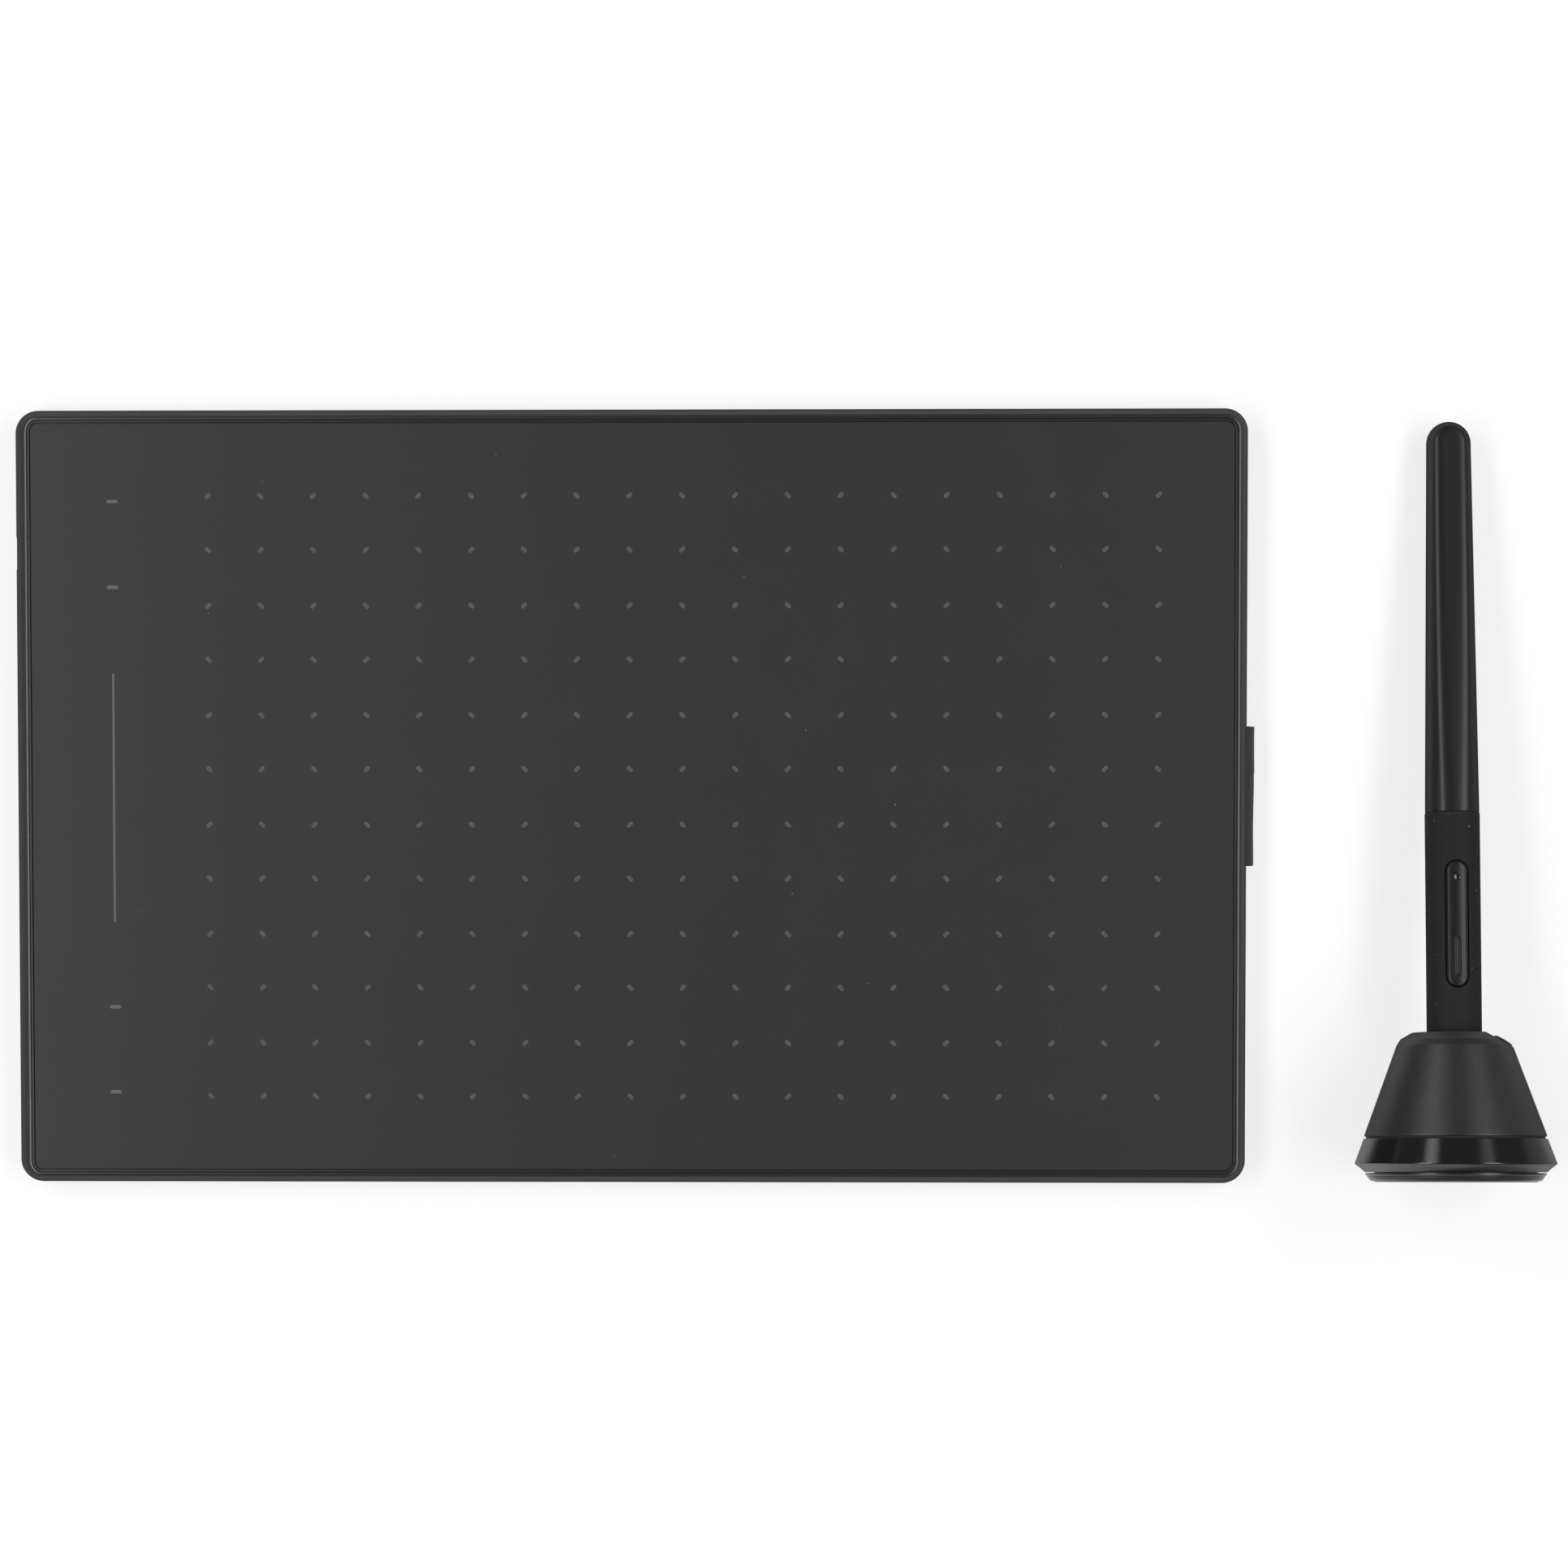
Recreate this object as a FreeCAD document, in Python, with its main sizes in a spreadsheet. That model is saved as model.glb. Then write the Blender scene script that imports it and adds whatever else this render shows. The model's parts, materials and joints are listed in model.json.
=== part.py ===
"""A graphics tablet lying face up on a desk, with its pen and pen stand lying beside it.

Millimetres, +Z up. The origin is at the bottom centre of the box round the whole set.
The tablet lies along X. The pen stays in its stand, and both lie along Y with the
stand's rim and the pen's tail on the desk, so their common axis leans a little.
"""
import FreeCAD, Part
import math
import os
import re

import Sketcher

Vector = FreeCAD.Vector

# Driving sizes, in millimetres and degrees
SIZES = {
    # The set
    "pen_spacing": 190.1,
    "stand_margin": 0.35,
    # Tablet housing
    "tablet_length": 287.4,
    "tablet_width": 180.6,
    "housing_thickness": 8.0,
    "corner_radius": 5.4,
    "rim_inset": 2.0,
    "crest_width": 0.55,
    "ledge_step": 0.2,
    "rim_width": 3.1,
    "deck_thickness": 1.2,
    "deck_bite": 0.6,
    # Drawing surface
    "panel_gap": 0.25,
    "film_thickness": 0.5,
    "active_left_border": 45.4,
    "active_right_border": 21.0,
    "active_border": 20.35,
    # Bottom cover, screws and feet
    "cover_gap": 0.1,
    "cover_thickness": 1.2,
    "cover_rib": 1.2,
    "rib_pitch": 36.0,
    "boss_radius": 2.4,
    "boss_inset": 8.7,
    "boss_row_inset": 6.7,
    "seat_radius": 3.2,
    "seat_height": 0.8,
    "screw_radius": 1.0,
    "screw_length": 5.0,
    "screw_head_radius": 1.9,
    "screw_head_height": 0.9,
    "screw_head_sink": 0.1,
    "screw_slot_length": 2.7,
    "screw_slot_width": 0.5,
    "screw_slot_depth": 0.3,
    "foot_height": 0.8,
    "foot_recess": 0.4,
    "foot_length": 34.0,
    "foot_width": 9.0,
    "foot_inset": 36.0,
    "foot_row_inset": 20.0,
    "foot_edge": 0.3,
    # Sensor stack
    "sensor_thickness": 0.8,
    "sheet_corner": 1.0,
    "sensor_margin": 6.0,
    "shield_thickness": 0.4,
    "shield_start": 6.5,
    "foam_thickness": 0.8,
    "foam_margin": 4.0,
    # Main board
    "board_margin": 2.4,
    "board_width": 27.0,
    "board_end_margin": 12.3,
    "board_thickness": 1.0,
    "board_drop": 1.5,
    "post_radius": 2.2,
    "post_inset": 3.5,
    "post_end_inset": 6.0,
    "post_inner_row": 35.0,
    "board_screw_radius": 0.8,
    "board_screw_head": 1.6,
    "board_screw_head_height": 0.8,
    "board_screw_length": 2.2,
    "controller_side": 7.0,
    "controller_height": 0.9,
    "driver_length": 6.4,
    "driver_width": 5.0,
    "driver_height": 1.1,
    "driver_pitch": 15.0,
    "crystal_length": 3.2,
    "crystal_width": 2.5,
    "crystal_height": 0.7,
    "chip_part_length": 1.6,
    "chip_part_width": 0.8,
    "chip_part_height": 0.5,
    "chip_part_pitch": 3.0,
    # Charging and data socket
    "socket_end_inset": 33.3,
    "socket_width": 8.94,
    "socket_height": 3.26,
    "socket_depth": 7.35,
    "socket_wall": 0.3,
    "socket_corner": 1.43,
    "socket_sink": 0.35,
    "socket_gap": 0.2,
    "tongue_width": 6.7,
    "tongue_height": 0.7,
    "tongue_length": 4.6,
    # Press keys and touch strip
    "key_inset": 22.8,
    "key_pair_inset": 31.6,
    "key_pitch": 19.9,
    "key_length": 12.0,
    "key_width": 10.0,
    "key_corner": 1.5,
    "key_gap": 0.1,
    "key_slot_gap": 0.2,
    "key_flange": 1.5,
    "key_flange_thickness": 0.5,
    "key_flange_gap": 0.15,
    "key_stem_radius": 1.5,
    "key_free_travel": 0.35,
    "dome_radius": 3.0,
    "dome_top_radius": 1.9,
    "dome_height": 0.3,
    "dome_sheet": 0.12,
    "strip_length": 61.0,
    "strip_width": 8.0,
    "strip_thickness": 0.2,
    "strip_block_width": 3.0,
    "strip_block_length": 6.0,
    # Ribbon between the boards
    "ribbon_width": 24.0,
    "ribbon_thickness": 0.15,
    "ribbon_drop": 1.15,
    "ribbon_plug_depth": 1.0,
    "ribbon_socket_depth": 4.0,
    "ribbon_socket_inset": 1.0,
    "ribbon_socket_side": 1.0,
    "ribbon_socket_jaw": 0.4,
    # Pen loop
    "loop_width": 32.2,
    "loop_reach": 1.5,
    "loop_fabric": 0.65,
    "loop_fold_gap": 0.1,
    "loop_slot_gap": 0.05,
    "loop_tail": 2.6,
    "anchor_gap": 0.4,
    "anchor_depth": 4.0,
    "anchor_margin": 2.0,
    "anchor_jaw": 1.0,
    # Pen, measured along its axis from the stand's foot
    "nib_tip_at": 11.0,
    "nose_setback": 1.8,
    "nose_length": 9.2,
    "grip_taper": 12.0,
    "seam_at": 84.9,
    "tube_spigot": 7.1,
    "tail_core": 10.0,
    "pen_end": 176.0,
    "nose_tip_radius": 1.9,
    "nose_radius": 5.6,
    "grip_radius": 6.28,
    "grip_edge": 0.3,
    "barrel_radius": 6.2,
    "tail_radius": 5.1,
    "flat_gap": 10.1,
    "flat_depth": 0.98,
    "tube_radius": 5.0,
    "tube_wall": 1.0,
    "cavity_radius": 4.4,
    "cavity_end_radius": 2.9,
    "spigot_length": 6.0,
    # Pen's nib and sensor
    "nib_radius": 0.9,
    "nib_tip_radius": 0.45,
    "nib_length": 22.0,
    "nib_gap": 0.2,
    "nib_travel": 0.4,
    "holder_radius": 2.2,
    "holder_length": 5.0,
    "holder_grip": 3.0,
    "ferrite_radius": 2.0,
    "ferrite_setback": 6.0,
    "ferrite_length": 12.0,
    "ferrite_fit": 0.05,
    "coil_radius": 2.9,
    "coil_length": 8.0,
    "coil_setback": 2.0,
    "nose_cavity_radius": 3.2,
    "nose_core": 1.5,
    "module_gap": 0.2,
    "module_length": 7.0,
    "module_fit": 0.05,
    "pen_board_width": 4.8,
    "pen_board_overrun": 7.6,
    "pen_board_thickness": 0.8,
    "pen_board_face": 1.0,
    "switch_side": 3.0,
    "switch_height": 1.85,
    "switch_gap": 0.3,
    # Rocker button
    "rocker_setback": 25.92,
    "window_length": 29.3,
    "window_width": 5.4,
    "rocker_gap": 0.25,
    "rocker_proud": 0.35,
    "rocker_floor": 4.4,
    "rocker_root": 0.2,
    "rocker_reach": 9.0,
    "rocker_nub_radius": 0.8,
    "pivot_depth": 3.0,
    "pivot_radius": 0.5,
    "pivot_fit": 0.05,
    "pivot_length": 7.0,
    "hub_radius": 1.0,
    "hub_length": 4.6,
    "dimple_reach": 10.52,
    "dimple_radius": 1.0,
    "dimple_depth": 0.2,
    "mark_groove_length": 8.4,
    "mark_groove_width": 1.0,
    "mark_groove_depth": 0.2,
    "mark_groove_reach": 11.78,
    # Stand base
    "rim_overhang": 2.0,
    "rim_at": 4.5,
    "ring_seat_gap": 0.15,
    "ring_undercut": 0.1,
    "ring_top_at": 9.9,
    "ring_top_radius": 20.8,
    "ring_hollow": 3.5,
    "skirt_fit": 0.2,
    "floor_inset": 0.2,
    "floor_taper": 1.0,
    "floor_chamfer": 0.9,
    "floor_top_at": 2.1,
    "spigot_top_at": 3.1,
    "pad_inset": 1.1,
    "pad_proud": 0.5,
    "pad_sink": 0.5,
    "floor_groove": 0.15,
    "weight_fit": 0.6,
    "weight_height": 3.0,
    "weight_bore": 2.0,
    # Nib tray
    "tray_fit": 0.6,
    "tray_height": 3.0,
    "tray_well_radius": 6.0,
    "tray_well_depth": 1.0,
    "spare_inset": 3.2,
    "spare_length": 15.0,
    "spare_sink": 2.4,
    "spare_fit": 0.05,
    "spare_count": 8.0,
    # Stand cone
    "skirt_step": 2.4,
    "skirt_wall": 2.0,
    "skirt_bottom_at": 6.6,
    "washer_room": 0.5,
    "cone_wall": 2.1,
    "shoulder_drop": 3.0,
    "shoulder_radius": 13.2,
    "bevel_drop": 1.5,
    "bevel_radius": 12.3,
    "cone_top_at": 34.2,
    "cone_top_radius": 9.6,
    "mouth_radius": 6.6,
    "mouth_lip": 0.8,
    "liner_radius": 8.0,
    "liner_wall_radius": 9.6,
    "liner_tip_gap": 0.4,
    "liner_fit": 0.25,
    "washer_gap": 0.05,
    "washer_fit": 0.15,
    "washer_edge": 0.5,
    # Nib puller on the shoulder
    "facet_start": 7.5,
    "facet_end_radius": 13.1,
    "facet_fall": 3.3,
    "facet_width": 15.0,
    "facet_turn": 13.0,
    "puller_width": 4.6,
    "puller_length": 4.5,
    "puller_proud": 0.5,
    "puller_sink": 0.8,
    "puller_at": 1.9,
    "puller_hole_radius": 1.05,
}

# Places worked out from the driving sizes
PLACES = {
    "rim_radius": "ring_top_radius + rim_overhang",
    "ring_bottom_radius": "ring_top_radius - ring_undercut",
    "floor_radius": "ring_bottom_radius - floor_inset",
    "floor_bottom_radius": "floor_radius - floor_taper",
    "pad_radius": "floor_bottom_radius - pad_inset",
    "set_length": "tablet_length/2 + pen_spacing + rim_radius",
    "tablet_x": "(tablet_length - set_length)/2",
    "pen_x": "set_length/2 - rim_radius",
    "tail_centre_at": "pen_end - tail_radius",
    "lean_run": "tail_centre_at - rim_at",
    "lean": "acos(tail_radius/sqrt(rim_radius^2 + lean_run^2)) - atan2(lean_run; rim_radius)",
    "lie_angle": "90 deg + lean",
    "pen_y": "stand_margin + pad_radius*sin(lean) - tablet_width/2",
    "pen_z": "rim_radius*cos(lean) + rim_at*sin(lean)",
    # Tablet levels above the desk
    "base_level": "foot_height",
    "top_level": "foot_height + housing_thickness",
    "mid_level": "foot_height + housing_thickness/2",
    "ledge_level": "top_level - ledge_step",
    "film_level": "ledge_level - film_thickness",
    "deck_level": "film_level - deck_thickness",
    "sensor_level": "deck_level - sensor_thickness",
    "shield_level": "sensor_level - shield_thickness",
    "foam_level": "shield_level - foam_thickness",
    "cover_level": "base_level + cover_thickness",
    "seat_level": "cover_level + seat_height",
    "board_top_level": "deck_level - board_drop",
    "board_level": "board_top_level - board_thickness",
    "side_radius": "(rim_inset^2 + (housing_thickness/2)^2)/(2*rim_inset)",
    # Tablet plan
    "edge_x": "tablet_length/2",
    "edge_y": "tablet_width/2",
    "boss_span": "tablet_length - 2*boss_inset",
    "boss_row": "edge_y - boss_row_inset",
    "foot_x": "edge_x - foot_inset",
    "foot_y": "edge_y - foot_row_inset",
    "sensor_left": "active_left_border - edge_x - sensor_margin",
    "sensor_right": "edge_x - active_right_border + sensor_margin",
    "sensor_width": "2*(edge_y - active_border + sensor_margin)",
    "shield_left": "sensor_left + shield_start",
    "board_left": "board_margin + rim_width - edge_x",
    "board_right": "board_left + board_width",
    "board_x": "board_left + board_width/2",
    "board_length": "tablet_width - 2*board_end_margin",
    "post_x": "board_left + post_inset",
    "post_row": "board_length/2 - post_end_inset",
    "key_x": "key_inset - edge_x",
    "key_pair_offset": "edge_y - key_pair_inset",
    "key_top_level": "film_level - key_gap",
    "flange_top_level": "deck_level - key_flange_gap",
    "flange_level": "flange_top_level - key_flange_thickness",
    "stem_level": "board_top_level + dome_height + key_free_travel",
    "socket_mouth": "socket_sink - edge_x",
    "socket_offset": "edge_y - socket_end_inset",
    "ribbon_level": "deck_level - ribbon_drop",
    "loop_height": "2*loop_fabric + loop_fold_gap",
    "loop_tip": "edge_x + loop_reach",
    "loop_end": "edge_x - rim_width - loop_tail",
    "anchor_right": "edge_x - rim_width - anchor_gap",
    # Pen
    "nose_at": "nib_tip_at + nose_setback",
    "grip_start": "nose_at + nose_length",
    "grip_full_at": "grip_start + grip_taper",
    "tube_end": "seam_at + tube_spigot",
    "cavity_end": "pen_end - tail_core",
    "flat_start": "seam_at + flat_gap",
    "ferrite_start": "nib_tip_at + ferrite_setback",
    "coil_start": "ferrite_start + coil_setback",
    "nose_cavity_start": "ferrite_start + nose_core",
    "rocker_centre": "seam_at - rocker_setback",
    "dimple_at": "rocker_centre + dimple_reach",
    "mark_groove_at": "rocker_centre - mark_groove_reach",
    "nib_end": "nib_tip_at + nib_length",
    "holder_start": "nib_end - holder_grip",
    "holder_end": "holder_start + holder_length",
    "module_start": "holder_end + nib_travel + module_gap",
    "module_end": "module_start + module_length",
    "pen_board_length": "tube_end + pen_board_overrun - module_end",
    "tube_bore": "tube_radius - tube_wall",
    "switch_face": "pen_board_face + switch_height",
    "rocker_length": "window_length - 2*rocker_gap",
    "rocker_width": "window_width - 2*rocker_gap",
    "rocker_top": "grip_radius + rocker_proud",
    "flat_drop": "barrel_radius - tail_radius + flat_depth",
    "flat_angle": "atan(flat_drop/(tail_centre_at - flat_start))",
    # Stand
    "ring_bottom_at": "floor_top_at + ring_seat_gap",
    "skirt_radius": "ring_top_radius - skirt_step",
    "ring_bore": "skirt_radius + skirt_fit",
    "weight_radius": "ring_bore - weight_fit",
    "tray_radius": "skirt_radius - skirt_wall - tray_fit",
    "spare_circle": "tray_radius - spare_inset",
    "cone_bottom_at": "ring_top_at + washer_room",
    "cone_bottom_radius": "ring_top_radius",
    "shoulder_at": "cone_top_at - shoulder_drop",
    "bevel_at": "cone_top_at - bevel_drop",
    "liner_bottom_at": "nib_tip_at - liner_tip_gap",
    "pad_top_at": "pad_proud + pad_sink",
    "tray_at": "spigot_top_at + weight_height",
    "tray_top_at": "tray_at + tray_height",
    "spare_at": "tray_top_at - spare_sink",
    "cone_slope": "(cone_bottom_radius - shoulder_radius)/(shoulder_at - cone_bottom_at)",
    "cone_hollow_top": "shoulder_at - cone_wall",
    "cone_hollow_radius": "shoulder_radius + cone_slope*cone_wall - cone_wall",
    "cone_hollow_start": "cone_bottom_at + skirt_wall/2",
    "cone_start_radius": "cone_bottom_radius - cone_slope*skirt_wall/2 - cone_wall",
    "liner_top_at": "cone_top_at - mouth_lip",
    "facet_run": "facet_end_radius - facet_start",
    "facet_angle": "atan(facet_fall/facet_run)",
}

doc = FreeCAD.newDocument("graphics_tablet")
owners = {}
nodes = []


# Sheets and expressions

def full(text):
    """An expression in which each size is named with the sheet that holds it."""
    return re.sub(r"[a-z][a-z_]*", lambda found: owners.get(found.group(), "") + found.group(), text)


def fill_sheet(name, cells, formula):
    """A sheet with one aliased cell for each size."""
    sheet = doc.addObject("Spreadsheet::Sheet", name)
    for row, (alias, value) in enumerate(cells.items(), start=1):
        sheet.set("A%d" % row, alias)
        sheet.set("B%d" % row, "=" + full(value) if formula else str(value))
        sheet.setAlias("B%d" % row, alias)
    for alias in cells:
        owners[alias] = name + "."
    doc.recompute()
    return sheet


def number(text):
    """The value of an expression now."""
    value = places.evalExpression(full(text))
    return float(getattr(value, "Value", value))


def bind(target, **settings):
    """Bind each property of the target to an expression."""
    for name, text in settings.items():
        target.setExpression(name, full(text))


def put(target, x="0", y="0", z="0", turn=None):
    """Bind the target's position, after turning it."""
    if turn is not None:
        target.Placement = FreeCAD.Placement(Vector(0, 0, 0), turn)
    for axis, text in zip("xyz", (x, y, z)):
        target.setExpression("Placement.Base." + axis, full(text))


# Primitives of a part outside a body

TO_X = FreeCAD.Rotation(Vector(0, 1, 0), 90)
TO_FRONT = FreeCAD.Rotation(Vector(1, 0, 0), 90)


def block(name, x, y, z, length, width, height):
    """A box from its lowest corner."""
    item = doc.addObject("Part::Box", name)
    bind(item, Length=length, Width=width, Height=height)
    put(item, x, y, z)
    return item


def middle_block(name, x, y, z, length, width, height):
    """A box centred on x and y, with its bottom at z."""
    left = "%s - (%s)/2" % (x, length)
    front = "%s - (%s)/2" % (y, width)
    return block(name, left, front, z, length, width, height)


def rod(name, x, y, z, radius, length, turn=None):
    """A round rod along +Z, or turned."""
    item = doc.addObject("Part::Cylinder", name)
    bind(item, Radius=radius, Height=length)
    put(item, x, y, z, turn)
    return item


def pipe(name, z, radius, bore, length):
    """A round tube on the Z axis."""
    return cut(name, rod(name + "_outer", "0", "0", z, radius, length),
               [rod(name + "_bore", "0", "0", z, bore, length)])


def fuse(name, shapes):
    item = doc.addObject("Part::MultiFuse", name)
    item.Shapes = shapes
    return item


def cut(name, base, tools):
    item = doc.addObject("Part::Cut", name)
    item.Base = base
    item.Tool = tools[0] if len(tools) == 1 else fuse(name + "_tools", tools)
    return item


def common(name, shapes):
    item = doc.addObject("Part::MultiCommon", name)
    item.Shapes = shapes
    return item


def group(name, shapes):
    item = doc.addObject("Part::Compound", name)
    item.Links = shapes
    return item


# Sketches and features of a body

def new_body(name):
    return doc.addObject("PartDesign::Body", name + "_body")


def new_sketch(body, name, role, level="0"):
    """A sketch on one of the body's own planes, raised by level along its normal."""
    plane = next(item for item in body.Origin.OriginFeatures if item.Role == role)
    sketch = body.newObject("Sketcher::SketchObject", name)
    sketch.AttachmentSupport = [(plane, "")]
    sketch.MapMode = "FlatFace"
    sketch.setExpression("AttachmentOffset.Base.z", full(level))
    return sketch


def arc_between(start, end, radius):
    """The short arc between two points, and whether it runs from the start.

    With a positive radius its centre is on the left of the way from start to end.
    """
    chord = end - start
    left = Vector(-chord.y, chord.x, 0) * (math.copysign(1, radius) / chord.Length)
    rise = math.sqrt(max(radius ** 2 - (chord.Length / 2) ** 2, 0))
    centre = (start + end) * 0.5 + left * rise
    angles = [math.atan2(point.y - centre.y, point.x - centre.x) for point in (start, end)]
    if radius < 0:
        angles.reverse()
    circle = Part.Circle(centre, Vector(0, 0, 1), abs(radius))
    return Part.ArcOfCircle(circle, angles[0], angles[1]), radius > 0


def draw(sketch, corners):
    """A closed outline whose corners and radii are bound to expressions.

    A corner is (x, y), or (x, y, radius) where an arc leads on to the next corner.
    """
    points = [Vector(number(corner[0]), number(corner[1]), 0) for corner in corners]
    sides = []
    for index, corner in enumerate(corners):
        start, end = points[index], points[(index + 1) % len(points)]
        forward = True
        if len(corner) == 3:
            shape, forward = arc_between(start, end, number(corner[2]))
        else:
            shape = Part.LineSegment(start, end)
        sides.append((sketch.addGeometry(shape, False), (1, 2) if forward else (2, 1)))
    for index, (side, ends) in enumerate(sides):
        following, next_ends = sides[(index + 1) % len(sides)]
        sketch.addConstraint(Sketcher.Constraint("Coincident", side, ends[1], following, next_ends[0]))
        for kind, value, text in (("DistanceX", points[index].x, corners[index][0]),
                                  ("DistanceY", points[index].y, corners[index][1])):
            rule = sketch.addConstraint(Sketcher.Constraint(kind, -1, 1, side, ends[0], value))
            sketch.setExpression("Constraints[%d]" % rule, full(text))
        if len(corners[index]) == 3:
            radius = corners[index][2]
            rule = sketch.addConstraint(Sketcher.Constraint("Radius", side, abs(number(radius))))
            sketch.setExpression("Constraints[%d]" % rule, full("abs(%s)" % radius))


def rounded(x, y, length, width, radius):
    """Corners of a rounded rectangle centred on x, y, starting half-way up its right side."""
    def at(across, up, inward_x, inward_y):
        return ("%s + %d*(%s)/2 + %d*(%s)" % (x, across, length, inward_x, radius),
                "%s + %d*(%s)/2 + %d*(%s)" % (y, up, width, inward_y, radius))
    corners = [("%s + (%s)/2" % (x, length), y)]
    for across, up in ((1, 1), (-1, 1), (-1, -1), (1, -1)):
        first, last = at(across, up, 0, -up), at(across, up, -across, 0)
        if across * up < 0:
            first, last = last, first
        corners.append(first + (radius,))
        corners.append(last)
    return corners


def capsule(x, y, length, width):
    """Corners of a capsule that lies along the sketch's first axis."""
    half = "(%s)/2" % width
    reach = "(%s)/2" % length
    straight = "(%s - %s)" % (reach, half)
    return [("%s + %s" % (x, straight), "%s - %s" % (y, half), half),
            ("%s + %s" % (x, reach), y, half),
            ("%s + %s" % (x, straight), "%s + %s" % (y, half)),
            ("%s - %s" % (x, straight), "%s + %s" % (y, half), half),
            ("%s - %s" % (x, reach), y, half),
            ("%s - %s" % (x, straight), "%s - %s" % (y, half))]


def pad(body, name, role, level, corners, length, midplane=False):
    """Draw an outline on a plane of the body and pad it along the plane's normal."""
    sketch = new_sketch(body, name + "_sketch", role, level)
    draw(sketch, corners)
    item = body.newObject("PartDesign::Pad", name)
    item.Profile = sketch
    bind(item, Length=length)
    item.Midplane = midplane
    return item


def revolve(body, name, corners):
    """Revolve an outline of radius and height round the body's Z axis."""
    sketch = new_sketch(body, name + "_sketch", "XZ_Plane")
    draw(sketch, corners)
    item = body.newObject("PartDesign::Revolution", name)
    item.Profile = sketch
    item.ReferenceAxis = (sketch, ["V_Axis"])
    item.Angle = 360
    return item


def feature(body, kind, name, at, turn=None, **settings):
    """An additive or subtractive primitive of the body."""
    item = body.newObject("PartDesign::" + kind, name)
    item.Refine = False
    bind(item, **settings)
    put(item, at[0], at[1], at[2], turn)
    return item


def window(body, name, length, width):
    """Cut a capsule window through the front of a pen shell, at the rocker."""
    straight = "%s - %s" % (length, width)
    feature(body, "SubtractiveBox", name + "_middle",
            ("-%s/2" % width, "-2*grip_radius", "rocker_centre - (%s)/2" % straight),
            Length=width, Width="2*grip_radius", Height=straight)
    for end, sign in (("low", "-"), ("high", "+")):
        feature(body, "SubtractiveCylinder", "%s_%s" % (name, end),
                ("0", "0", "rocker_centre %s (%s)/2" % (sign, straight)), TO_FRONT,
                Radius="%s/2" % width, Height="2*grip_radius")


def round_edges(body, name, radius, wanted):
    """Fillet the edges of the body's last feature that are wanted."""
    doc.recompute()
    base = body.Tip
    edges = ["Edge%d" % (index + 1) for index, edge in enumerate(base.Shape.Edges) if wanted(edge)]
    if not edges:
        raise RuntimeError("no edge to round for " + name)
    item = body.newObject("PartDesign::Fillet", name)
    item.Base = (base, edges)
    bind(item, Radius=radius)
    return item


def level_edge(edge, level):
    """Whether an edge lies at a level."""
    return all(abs(point.z - level) < 0.01 for point in edge.discretize(3))


def deliver(item, node, home):
    """Name a finished sub-part and put it in its place in the set."""
    if item.TypeId in ("Part::Box", "Part::Cylinder"):
        item = group(node + "_place", [item])
    item.Label = node
    if home == "tablet":
        put(item, x="tablet_x")
    else:
        lying = FreeCAD.Rotation(Vector(-1, 0, 0), number("lie_angle"))
        put(item, "pen_x", "pen_y", "pen_z", lying)
        bind(item, **{"Placement.Rotation.Angle": "lie_angle"})
    nodes.append(item)


def plate(node, corners, level, thickness):
    """A flat sub-part of the tablet with one outline."""
    body = new_body(node)
    pad(body, node + "_pad", "XY_Plane", level, corners, thickness)
    deliver(body, node, "tablet")


# Tablet housing

def boss_places():
    """Where the housing screws stand, as expressions of x and y."""
    for column in range(4):
        for row in ("boss_row", "-boss_row"):
            yield "%d*boss_span/3 - boss_span/2" % column, row


def post_places():
    """Where the main board's screws stand."""
    for row in ("post_row", "post_inner_row", "-post_inner_row", "-post_row"):
        yield "post_x", row


def key_rows():
    """The four keys' places along Y, from the back."""
    return ["key_pair_offset + key_pitch/2", "key_pair_offset - key_pitch/2",
            "key_pitch/2 - key_pair_offset", "-key_pair_offset - key_pitch/2"]


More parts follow.
